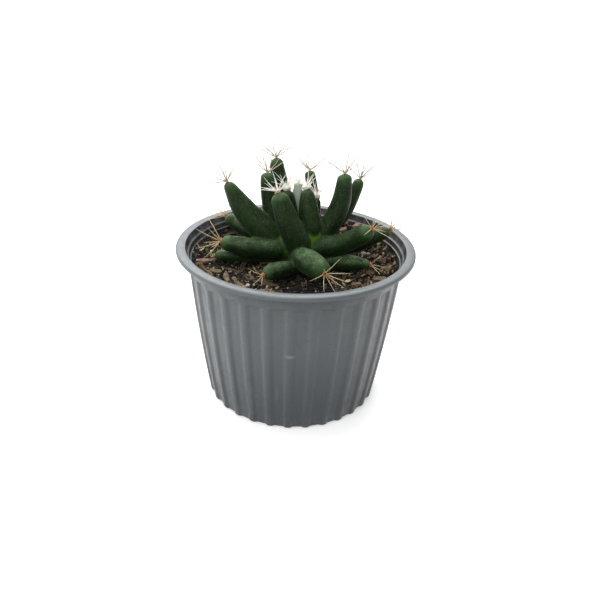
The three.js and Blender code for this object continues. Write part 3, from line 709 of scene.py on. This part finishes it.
# Potting mix


def mix_height(surface, x, y):
    """Height of a surface under a place, all in millimetres, or None beside it."""
    point = surface.ray_cast(Vector((x, y, 90)) * MM, Vector((0, 0, -1)))[0]
    return point.z / MM if point else None


def make_mix():
    """The mix's body, laid over the CAD mix with a crumbly top that reaches the wall."""
    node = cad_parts["potting_mix"]
    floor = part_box("potting_mix")[0].z / MM
    side = [(0, floor), (MIX_EDGE * 0.8, floor), (MIX_EDGE * 0.84, floor + 3)]
    side.append((MIX_EDGE * 0.98, MIX_LEVEL - 3))
    top = [(MIX_EDGE * (1 - i / MIX_RINGS), MIX_LEVEL) for i in range(MIX_RINGS)]
    mix = spun("potting_mix_bed", side + top + [(0, MIX_LEVEL)], MIX_SLICES)
    surface = BVHTree.FromObject(node, bpy.context.evaluated_depsgraph_get())
    for vertex in mix.data.vertices:
        x, y, z = vertex.co / MM
        if z < MIX_LEVEL - 1:
            continue
        height = max(mix_height(surface, x, y) or MIX_LEVEL, MIX_LEVEL - 4)
        heading = math.atan2(y, x)
        shoulder = SHOULDER_WIDTH if height > POT_HEIGHT - SHOULDER_DEPTH - 1 else 0
        stretch = (inner_radius(heading, height) - shoulder - MIX_GAP) / MIX_EDGE
        place = Vector((x * stretch, y * stretch, height))
        place.z += MIX_RELIEF * noise.fractal(place / MIX_LUMP, 0.8, 2.2, 5)
        vertex.co = place * MM
    smooth(mix, 180)
    put_down(mix, "potting_mix", potting_mix_soil(), "potting_mix")
    return mix


def crumb_patterns():
    """Uneven crumbs a millimetre across, of twenty faces each."""
    patterns = []
    for i in range(5):
        bpy.ops.mesh.primitive_ico_sphere_add(subdivisions=1, radius=0.5 * MM)
        crumb = bpy.context.object
        for vertex in crumb.data.vertices:
            vertex.co *= 1 + 0.7 * noise.noise(vertex.co / MM * 2.3 + Vector((7.3 * i, 0, 0)))
            vertex.co.z *= 0.7
        patterns.append(crumb.data)
        bpy.data.objects.remove(crumb)
    return patterns


def shred_patterns(slimness):
    """Torn shreds of bark a millimetre long, bent along their length, slimness times as wide."""
    patterns = []
    for i in range(6):
        bpy.ops.mesh.primitive_circle_add(vertices=9, radius=0.5 * MM, fill_type="NGON")
        shred = bpy.context.object
        edit(shred)
        bpy.ops.mesh.extrude_region_move(TRANSFORM_OT_translate={"value": (0, 0, 0.16 * MM)})
        close_edit()
        for vertex in shred.data.vertices:
            x, y, _ = vertex.co / MM
            torn = noise.noise(Vector((3 * x, 3 * y, 4.7 * i)))
            vertex.co.x *= 1 + 0.5 * torn
            vertex.co.y *= slimness * (1 + 0.9 * torn)
            vertex.co.z += (0.5 * x * x + 0.18 * torn) * MM
        patterns.append(shred.data)
        bpy.data.objects.remove(shred)
    return patterns


def fibre_patterns():
    """Thin fibres a millimetre long, bowed and kinked."""
    patterns = []
    for i in range(4):
        bpy.ops.mesh.primitive_cylinder_add(vertices=3, radius=0.03 * MM, depth=MM)
        fibre = bpy.context.object
        fibre.rotation_euler = (0, math.pi / 2, 0)
        bpy.ops.object.transform_apply(rotation=True)
        edit(fibre)
        bpy.ops.mesh.bisect(plane_co=(-0.2 * MM, 0, 0), plane_no=(1, 0, 0))
        bpy.ops.mesh.select_all(action="SELECT")
        bpy.ops.mesh.bisect(plane_co=(0.2 * MM, 0, 0), plane_no=(1, 0, 0))
        close_edit()
        for vertex in fibre.data.vertices:
            share = vertex.co.x / MM
            vertex.co.y += 0.25 * MM * noise.noise(Vector((2.2 * share, 3.3 * i, 0)))
            kink = noise.noise(Vector((2 * share, 3.3 * i, 5)))
            vertex.co.z += (0.2 - 0.6 * share * share + 0.1 * kink) * MM
        patterns.append(fibre.data)
        bpy.data.objects.remove(fibre)
    return patterns


def on_mix(surface, chips, rng, clearance, sector):
    """A random place on the mix, clear of the stem, the wall and the chips, as point and normal."""
    while True:
        radius = MIX_REACH * math.sqrt(rng.random())
        heading = math.radians(rng.uniform(*sector))
        above = Vector((radius * math.cos(heading), radius * math.sin(heading), 90)) * MM
        point, normal, _, _ = surface.ray_cast(above, Vector((0, 0, -1)))
        if not point or radius > inner_radius(heading, point.z / MM) - clearance:
            continue
        on_chip = chips.find_nearest(point, clearance * MM)[0]
        from_stem = Vector((point.x, point.y, 0)) - STEM_AXIS * MM
        if not on_chip and from_stem.length > STEM_CLEARANCE * MM:
            return point, normal


def laid(point, normal, rng, size, tilt, lift):
    """A turn, size and place for a bit that lies on the mix."""
    upright = Vector((0, 0, 1)).lerp(normal, 0.7).to_track_quat("Z", "Y").to_matrix().to_4x4()
    wobble = Euler((rng.gauss(0, tilt), rng.gauss(0, tilt), 0)).to_matrix().to_4x4()
    spin = Matrix.Rotation(rng.uniform(0, 2 * math.pi), 4, "Z")
    return Matrix.Translation(point + Vector((0, 0, lift * MM))) @ upright @ spin @ wobble @ size


def chip_surface():
    """The surfaces of all the CAD's chips and crumbs, for keeping other bits off them."""
    gathered = bmesh.new()
    for name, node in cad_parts.items():
        if name.startswith(("bark_", "perlite_")):
            gathered.from_mesh(node.data)
    tree = BVHTree.FromBMesh(gathered)
    gathered.free()
    return tree


def strew(name, patterns, looks, surface, chips, rng):
    """Strews one kind of bit over the mix, most of them near the small end of its sizes."""
    pattern, look, count, (small, large), tilt, lift, sector = BITS[name]
    places = []
    for _ in range(count):
        grow = small + (large - small) * rng.random() ** 2.5
        point, normal = on_mix(surface, chips, rng, 0.2 + 0.45 * grow, sector)
        size = Matrix.Diagonal((grow, grow * rng.uniform(0.6, 1), grow * rng.uniform(0.6, 1), 1))
        places.append(laid(point, normal, rng, size, tilt, lift))
    bits = scattered(name, patterns[pattern], places, [rng.random() for _ in places])
    bits.data.materials.append(looks[look])
    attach(bits, "root")


def bit_looks():
    """The loose bits' materials: colours from the darkest bit to the palest, roughness, grain, relief."""
    peat = [(0.0, "#030302"), (0.5, "#0a0806"), (0.8, "#1d1912"), (1.0, "#4e4938")]
    bark = [(0.0, "#0d0906"), (0.4, "#20190f"), (0.7, "#483c2b"), (1.0, "#87745a")]
    left = [(0.0, "#150f0a"), (0.4, "#3c3023"), (0.65, "#565136"), (0.85, "#8e8059"), (1.0, "#d3c89f")]
    right = [(0.0, "#1c140e"), (0.35, "#5a4733"), (0.6, "#6b6447"), (0.8, "#a88e68"), (1.0, "#d6c19c")]
    pieces = [(0.0, "#17110b"), (0.4, "#423424"), (0.7, "#6f5c44"), (1.0, "#ae987a")]
    wood = [(0.0, "#4e3a2a"), (0.5, "#7b654b"), (1.0, "#a58d6c")]
    coir = [(0.0, "#412c1d"), (0.5, "#7a5d40"), (1.0, "#ad916a")]
    grit = [(0.0, "#77745a"), (0.5, "#a9a48a"), (1.0, "#ded8c8")]
    heap = [(0.0, "#5d4032"), (0.5, "#906c57"), (1.0, "#b99a7f")]
    rows = {
        "peat_crumbs": (peat, 0.95, 0.7, 0.2),
        "pine_bark_fines": (bark, 0.85, 0.8, 0.2),
        "pale_plant_shreds": (left, 0.8, 0.6, 0.1),
        "tan_bark_shreds": (right, 0.85, 0.8, 0.2),
        "torn_bark_pieces": (pieces, 0.85, 0.9, 0.25),
        "split_bark_slivers": (wood, 0.85, 0.8, 0.2),
        "coir_fibres": (coir, 0.8, 0.6, 0.1),
        "pale_grit": (grit, 0.9, 0.5, 0.1),
        "fresh_bark_fines": (heap, 0.85, 0.8, 0.2),
    }
    return {name: tinted(name, *row) for name, row in rows.items()}


def make_loose_bits(mix):
    """Crumbs, shreds, torn pieces, slivers, fibres and pale grains, strewn over the mix by seeded draws."""
    surface = BVHTree.FromObject(mix, bpy.context.evaluated_depsgraph_get())
    chips = chip_surface()
    rng = random.Random(11)
    looks = bit_looks()
    patterns = {
        "crumb": crumb_patterns(),
        "shred": shred_patterns(0.32),
        "piece": shred_patterns(0.4),
        "sliver": shred_patterns(0.13),
        "fibre": fibre_patterns(),
    }
    for name in BITS:
        strew(name, patterns, looks, surface, chips, rng)


# Cactus body


def tubercle_curve(name, share):
    """The point at a share of the tubercle's length, and the direction there, in millimetres."""
    root, bow, tip = TUBERCLES[name][:3]
    root, tip = Vector(root), Vector(tip)
    knee = root.lerp(tip, 0.5) + Vector(bow)
    point = root * (1 - share) ** 2 + knee * 2 * share * (1 - share) + tip * share**2
    heading = (knee - root) * 2 * (1 - share) + (tip - knee) * 2 * share
    return point, heading.normalized()


def tubercle_girth(name, share):
    """Thickness as a share of the width: swelling from the neck, tapering, and rounded at the tip."""
    root, _, tip, width, end = TUBERCLES[name]
    belly = BELLY.get(name, USUAL_BELLY)
    neck = NECK.get(name, USUAL_NECK)
    dome = DOME.get(name, USUAL_DOME) * end / 2 / (Vector(tip) - Vector(root)).length
    rising = min(share / belly, 1)
    falling = max((share - belly) / (1 - belly), 0)
    rounding = max((share - 1 + dome) / dome, 0)
    swell = neck + (1 - neck) * rising * (2 - rising)
    taper = 1 - (1 - end / width) * falling**2
    return swell * taper * math.sqrt(max(1 - rounding**2, 0))


def make_tubercle(name):
    """A tubercle: a curve thickened to its shape and closed at both ends."""
    width = TUBERCLES[name][3]
    data = bpy.data.curves.new(name, "CURVE")
    data.dimensions = "3D"
    data.bevel_depth = width / 2 * MM
    data.bevel_resolution = 6
    data.use_fill_caps = True
    spline = data.splines.new("POLY")
    steps = 40
    spline.points.add(steps)
    for i, point in enumerate(spline.points):
        share = 1 - (1 - i / steps) ** 2.2
        point.co = (*(tubercle_curve(name, share)[0] * MM), 1)
        point.radius = max(tubercle_girth(name, share), 0.02)
    new_object(name, data)
    bpy.ops.object.convert(target="MESH")
    return bpy.context.object


def make_stem():
    """The stem and its short root, spun about the plant's axis."""
    stem = spun("stem", STEM_OUTLINE, 40)
    stem.data.transform(Matrix.Translation(STEM_AXIS * MM))
    return stem


def grow_body():
    """All tubercles and the stem, fused into one skin with soft axils and slight unevenness."""
    parts = [make_tubercle(name) for name in TUBERCLES]
    body = make_stem()
    for part in parts:
        part.select_set(True)
    bpy.ops.object.join()
    body = bpy.context.object
    body.name = "cactus"
    apply_modifier(body, "REMESH", mode="VOXEL", voxel_size=SKIN_VOXEL * MM)
    apply_modifier(body, "SMOOTH", factor=0.6, iterations=6)
    for vertex in body.data.vertices:
        vertex.co += noise.noise_vector(vertex.co / (SWAY_SPACING * MM)) * SWAY * MM
    return body


def skin_marks(places, shares, lines, ways):
    """What the skin's patterns need at points in millimetres, from the tubercles' lines and ways.

    A point belongs to the tubercle it lies deepest in. Its lay is across, over and along that one.
    """
    half = np.array([row[3] / 2 for row in TUBERCLES.values()])
    bloom_and_highlight_share = np.array([BLOOM_AND_HIGHLIGHT.get(name, USUAL_BLOOM_AND_HIGHLIGHT) for name in TUBERCLES])
    apart = np.linalg.norm(places[:, None, None] - lines[None], axis=3)
    depth = apart.min(axis=2) - half[None]
    order = np.argsort(depth, axis=1)
    rows = np.arange(len(places))
    first = order[:, 0]
    step = apart.argmin(axis=2)[rows, first]
    crease = 1 - np.clip(depth[rows, order[:, 1]] / AXIL_REACH, 0, 1)
    middle = np.hypot(places[:, 0] - STEM_AXIS.x, places[:, 1] - STEM_AXIS.y)
    inner = np.clip((AXIL_RADIUS - middle) / AXIL_FADE, 0, 1)
    inner = inner * np.clip((places[:, 2] - AXIL_FOOT) / AXIL_RISE, 0, 1)
    near_root = np.clip(1.0 - shares[step] * ROOT_FADE, 0, 1)
    way = ways[first, step]
    aside = places - lines[first, step]
    aside -= (aside * way).sum(axis=1)[:, None] * way
    level = np.cross(way, np.array([0.37, 0.21, 0.9]))
    level /= np.linalg.norm(level, axis=1)[:, None]
    across = (aside * level).sum(axis=1) + LAY_APART * first
    over = (aside * np.cross(way, level)).sum(axis=1)
    return {
        "along": shares[step],
        "axil": np.clip(inner * near_root * (0.2 + 1.1 * crease), 0, 1),
        "fresh": FRESHNESS * (first == list(TUBERCLES).index(FRESH_TUBERCLE)),
        "dust": bloom_and_highlight_share[first],
        "skin_lay": np.column_stack((across, over, shares[step] * LAY_LENGTH)),
    }


def mark_skin(body):
    """Writes the skin's marks on its points, worked out for some of them at a time."""
    shares = np.linspace(0, 1, 60)
    lines = np.array([[tubercle_curve(name, share)[0] for share in shares] for name in TUBERCLES])
    ways = np.array([[tubercle_curve(name, share)[1] for share in shares] for name in TUBERCLES])
    mesh = body.data
    count = len(mesh.vertices)
    places = np.empty(count * 3, np.float32)
    mesh.vertices.foreach_get("co", places)
    places = places.reshape(-1, 3) / MM
    chunks = np.split(places, range(SKIN_CHUNK, count, SKIN_CHUNK))
    chunks = [skin_marks(chunk, shares, lines, ways) for chunk in chunks]
    marks = {name: np.concatenate([c[name] for c in chunks]).astype(np.float32) for name in chunks[0]}
    # Bloom is laid on the faces that look up: partly real bloom, partly painted highlight
    facing = np.empty(count * 3, np.float32)
    mesh.vertex_normals.foreach_get("vector", facing)
    upward = np.clip((facing.reshape(-1, 3)[:, 2] - 0.1) / 0.85, 0, 1)
    marks["bloom_and_highlight"] = marks.pop("dust") * upward * np.clip(marks["along"] * 4, 0, 1)
    lay = (marks.pop("skin_lay") * MM).ravel()
    for name, values in marks.items():
        mesh.attributes.new(name, "FLOAT", "POINT").data.foreach_set("value", values)
    mesh.attributes.new("skin_lay", "FLOAT_VECTOR", "POINT").data.foreach_set("vector", lay)


def make_cactus():
    body = grow_body()
    mark_skin(body)
    smooth(body, 180)
    put_down(body, "cactus_skin", cactus_skin(), "cactus_body")
    return body


# Areoles


def thread_pattern(name, radius, rings, sides, taper):
    """A thread or spine one unit long: round, bent a little and drawn out to a point.

    It carries along, from 0 at its root to 1 at its tip.
    """
    mesh = bpy.data.meshes.new(name)
    shape = bmesh.new()
    along = shape.verts.layers.float.new("along")
    rows = []
    for i in range(rings):
        share = i / rings
        girth = radius * (1 - share**taper)
        row = []
        for k in range(sides):
            angle = 2 * math.pi * k / sides
            aside = THREAD_BEND * MM * math.sin(math.pi * share)
            place = (girth * math.cos(angle) + aside, girth * math.sin(angle), share)
            vertex = shape.verts.new(place)
            vertex[along] = share
            row.append(vertex)
        rows.append(row)
    tip = shape.verts.new((0, 0, 1))
    tip[along] = 1.0
    for low, high in zip(rows, rows[1:]):
        for k in range(sides):
            shape.faces.new((low[k], low[(k + 1) % sides], high[(k + 1) % sides], high[k]))
    for k in range(sides):
        shape.faces.new((rows[-1][k], rows[-1][(k + 1) % sides], tip))
    shape.faces.new(list(reversed(rows[0])))
    shape.to_mesh(mesh)
    shape.free()
    return mesh


def spine_tips(name, root):
    """Where the CAD areole's spines end, read from its node: its points far from the pad."""
    points = {tuple(round(c, 6) for c in v.co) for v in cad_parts[f"areole_{name}"].data.vertices}
    shortest = SHORTEST_WORN_SPINE if name in BARE else SHORTEST_SPINE
    return sorted(p for p in points if (Vector(p) - root).length > shortest * MM)


def thread_place(root, tip, girth, roll):
    """The turn and size that lay a pattern of unit length from root to tip, girth times as thick."""
    way = tip - root
    turn = way.to_track_quat("Z", "Y").to_matrix().to_4x4()
    size = Matrix.Diagonal((girth, girth, way.length, 1))
    return Matrix.Translation(root) @ turn @ Matrix.Rotation(roll, 4, "Z") @ size


def gather(gathered, pattern, place, slot):
    """Adds one copy of a pattern to a mesh being gathered, with its material slot."""
    copy = pattern.copy()
    copy.transform(place)
    before = len(gathered.faces)
    gathered.from_mesh(copy)
    bpy.data.meshes.remove(copy)
    gathered.faces.ensure_lookup_table()
    for face in gathered.faces[before:]:
        face.material_index = slot
        face.smooth = True


def make_pad(name, pad):
    """The dense core of felt under the hairs: a low, lumpy dome on the tubercle's tip."""
    seat, facing = tubercle_curve(name, 1)
    bpy.ops.mesh.primitive_ico_sphere_add(subdivisions=3, radius=MM)
    core = bpy.context.object
    for vertex in core.data.vertices:
        vertex.co *= 1 + 0.3 * noise.noise(vertex.co / MM * 1.7 + seat)
        vertex.co.x *= pad["radius"] * pad["core"]
        vertex.co.y *= pad["radius"] * pad["core"]
        vertex.co.z *= pad["height"] * 0.6
    turn = facing.to_track_quat("Z", "Y").to_matrix().to_4x4()
    core.data.transform(Matrix.Translation((seat + facing * (pad["height"] * 0.35 - PAD_SINK)) * MM) @ turn)
    mesh = core.data
    bpy.data.objects.remove(core)
    return mesh


def pad_kind(name):
    """The sizes of the pad at a tubercle's tip."""
    if name in WOOLLY:
        return WOOLLY_PAD
    if name in WHITE_SPINED:
        return YOUNG_PAD
    if name in BARE:
        return BARE_PAD
    return HIGH_PAD if TUBERCLES[name][2][2] > HIGH_TIP else OLD_PAD


def gather_bristles(gathered, pattern, name, root, body, rng):
    """Adds short bristles between a young areole's spines, where no tubercle is in their way."""
    turn = tubercle_curve(name, 1)[1].to_track_quat("Z", "Y")
    for i in range(YOUNG_BRISTLES if name in WHITE_SPINED else 0):
        heading = 2 * math.pi * (i + rng.random()) / YOUNG_BRISTLES
        rise = math.radians(rng.uniform(5, 65))
        aim = turn @ Vector((math.cos(heading), math.sin(heading), math.tan(rise))).normalized()
        length = rng.uniform(*BRISTLE_LENGTHS) * MM
        if not body.ray_cast(root + aim * MM, aim, length)[0]:
            place = thread_place(root, root + aim * length, BRISTLE_GIRTH, rng.uniform(0, 2 * math.pi))
            gather(gathered, pattern, place, 0)


def gather_hairs(gathered, pattern, name, pad, rng):
    """Adds the pad's hairs, which stand out from it on all sides."""
    seat, facing = tubercle_curve(name, 1)
    turn = facing.to_track_quat("Z", "Y")
    spread = pad["radius"] * 0.55
    for _ in range(pad["hairs"]):
        heading = rng.uniform(0, 2 * math.pi)
        rise = math.asin(rng.uniform(0.05, 1))
        aim = Vector((math.cos(heading) * math.cos(rise), math.sin(heading) * math.cos(rise), math.sin(rise)))
        start = seat * MM + turn @ Vector((aim.x * spread, aim.y * spread, aim.z * pad["height"] * 0.3)) * MM
        length = pad["longest"] * rng.uniform(0.4, 1) * MM
        place = thread_place(start, start + turn @ aim * length, pad["girth"], rng.uniform(0, 2 * math.pi))
        gather(gathered, pattern, place, 1)


def make_areole(name, patterns, finishes, body, rng):
    """The felt or wool at a tubercle's tip with its spines, as one piece."""
    pad = pad_kind(name)
    seat, facing = tubercle_curve(name, 1)
    root = (seat + facing * (pad["height"] * 0.45 - PAD_SINK)) * MM
    gathered = bmesh.new()
    gathered.verts.layers.float.new("along")
    girth = HIGH_GIRTH if pad == HIGH_PAD else 1.0
    for tip in spine_tips(name, root):
        place = thread_place(root, Vector(tip), girth, rng.uniform(0, 2 * math.pi))
        gather(gathered, patterns["spine"], place, 0)
    gather_bristles(gathered, patterns["spine"], name, root, body, rng)
    core = make_pad(name, pad)
    gather(gathered, core, Matrix.Identity(4), 1)
    bpy.data.meshes.remove(core)
    gather_hairs(gathered, patterns["hair"], name, pad, rng)
    mesh = bpy.data.meshes.new(f"spines_{name}")
    gathered.to_mesh(mesh)
    gathered.free()
    piece = new_object(f"spines_{name}", mesh)
    for finish in finishes:
        mesh.materials.append(finish)
    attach(piece, "root")
    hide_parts(f"areole_{name}")


def make_areoles(cactus):
    rng = random.Random(5)
    body = BVHTree.FromObject(cactus, bpy.context.evaluated_depsgraph_get())
    patterns = {
        "spine": thread_pattern("spine", SPINE_RADIUS * MM, SPINE_RINGS, SPINE_SIDES, taper=2.6),
        "hair": thread_pattern("hair", HAIR_RADIUS * MM, rings=4, sides=3, taper=2),
    }
    straw = [(0.0, "#ad6a2a"), (0.12, "#b0966a"), (0.4, "#c2b594"), (0.9, "#b9ab88"), (1.0, "#947a55")]
    straw = spine_horn("straw_spine_horn", straw, 0.4)
    bleached = [(0.0, "#d2bea6"), (0.15, "#b9ad98"), (0.6, "#afa491"), (1.0, "#a69b88")]
    bleached = spine_horn("bleached_spine_horn", bleached, 0.4)
    white = spine_horn("young_white_spine", [(0.0, "#f0e6d0"), (0.2, "#fbf7ee"), (1.0, "#efe4d0")], 0.45)
    felt = wool("orange_brown_felt", "#b05820", "#dd9458")
    pale_felt = wool("pale_felt", "#ecd6c2", "#f8efe6")
    white_wool = wool("white_wool", "#fff8e4", "#fffcee")
    rosy_wool = wool("rosy_white_wool", "#e0a07c", "#fff6ea")
    for name in TUBERCLES:
        high = TUBERCLES[name][2][2] > HIGH_TIP
        if name in WOOLLY:
            finishes = (white, white_wool)
        elif name in WHITE_SPINED:
            finishes = (white, rosy_wool)
        else:
            finishes = (bleached, pale_felt) if high else (straw, felt)
        make_areole(name, patterns, finishes, body, rng)


# Bark chips and perlite crumbs


def rough_copy(name, node, levels, relief, grain):
    """A finer copy of a CAD bit: merged, divided and roughened twice, coarsely and finely."""
    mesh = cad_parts[node].data.copy()
    piece = new_object(name, mesh)
    edit(piece)
    bpy.ops.mesh.remove_doubles(threshold=0.001 * MM)
    bpy.ops.mesh.tris_convert_to_quads()
    bpy.ops.mesh.subdivide(number_cuts=levels, smoothness=0)
    close_edit()
    for vertex in mesh.vertices:
        vertex.co += noise.noise_vector(vertex.co / (grain * MM)) * relief * MM
        vertex.co += noise.noise_vector(vertex.co / (grain * 0.4 * MM)) * relief * 0.5 * MM
    smooth(piece, 30)
    return piece


def make_chips():
    red = bark_wood("weathered_red_bark", "#3a241c", "#84604f", "#b58b79")
    tan = bark_wood("weathered_tan_bark", "#281f15", "#67533b", "#937d61")
    perlite = perlite_foam()
    for node in sorted(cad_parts):
        if node.startswith("bark_"):
            chip = rough_copy(f"chip_{node}", node, levels=5, relief=0.45, grain=2.2)
            put_down(chip, "bark", red if node in RED_CHIPS else tan, node)
        if node.startswith("perlite_"):
            crumb = rough_copy(f"crumb_{node}", node, levels=3, relief=0.3, grain=1.2)
            put_down(crumb, "perlite", perlite, node)


# Stage


def make_floor():
    """A white light table, whose glow thins the shadows on it."""
    bpy.ops.mesh.primitive_plane_add(size=FLOOR_SIZE, location=(0, 0, 0))
    floor = bpy.context.object
    floor.name = "floor"
    floor.visible_diffuse = False
    material, tree, _ = new_material("white_sweep")
    white = {"Base Color": linear("#fbfbfb"), "Roughness": 0.9}
    glow = {"Emission Color": linear("#ffffff"), "Emission Strength": FLOOR_GLOW}
    shader = add_node(tree, "BsdfPrincipled", {**white, **glow})
    finish_material(tree, shader)
    floor.data.materials.append(material)


def make_lights():
    """Soft studio light: a white surround, dimmer in front and below, a wide key from above, and a fill."""
    scene = bpy.context.scene
    scene.view_settings.view_transform = "Standard"
    world = bpy.data.worlds.new("studio")
    world.use_nodes = True
    tree = world.node_tree
    way = add_node(tree, "TexCoord").outputs["Generated"]
    parts = add_node(tree, "SeparateXYZ", {"Vector": way}).outputs
    falls = []
    for axis, (low, high, at_low, at_high) in SKY_FALLS.items():
        fall = {"Value": parts[axis], "From Min": low, "From Max": high, "To Min": at_low, "To Max": at_high}
        falls.append(add_node(tree, "MapRange", fall, interpolation_type="SMOOTHSTEP"))
    strength = falls[0]
    for factor in (*falls[1:], SKY):
        strength = add_node(tree, "Math", {0: strength, 1: factor}, operation="MULTIPLY")
    tree.links.new(strength.outputs[0], tree.nodes["Background"].inputs["Strength"])
    tree.nodes["Background"].inputs["Color"].default_value = linear("#ffffff")
    scene.world = world
    bpy.ops.object.light_add(type="SUN", location=KEY_PLACE)
    key = bpy.context.object
    key.data.energy = KEY
    key.data.angle = KEY_WIDTH
    key.rotation_euler = KEY_AIM.to_track_quat("-Z", "Y").to_euler()
    bpy.ops.object.light_add(type="AREA", location=FILL_PLACE)
    fill = bpy.context.object
    fill.data.energy = FILL
    fill.data.size = FILL_WIDTH
    fill.rotation_euler = FILL_AIM.to_track_quat("-Z", "Y").to_euler()


def make_camera():
    down, lean = CAMERA_DOWN, CAMERA_LEAN
    forward = Vector((0, math.cos(down), -math.sin(down)))
    upward = Vector((0, math.sin(down), math.cos(down)))
    across = Vector((1, 0, 0))
    right = across * math.cos(lean) + upward * math.sin(lean)
    up = upward * math.cos(lean) - across * math.sin(lean)
    data = bpy.data.cameras.new("camera")
    data.lens = LENS
    data.sensor_width = SENSOR
    data.clip_start = 0.01
    camera = bpy.data.objects.new("camera", data)
    bpy.context.scene.collection.objects.link(camera)
    axes = Matrix((right, up, -forward)).transposed().to_4x4()
    camera.matrix_world = Matrix.Translation(CAMERA_PLACE) @ axes
    bpy.context.scene.camera = camera


make_camera()
make_lights()
make_floor()
make_pot()
make_loose_bits(make_mix())
make_areoles(make_cactus())
make_chips()
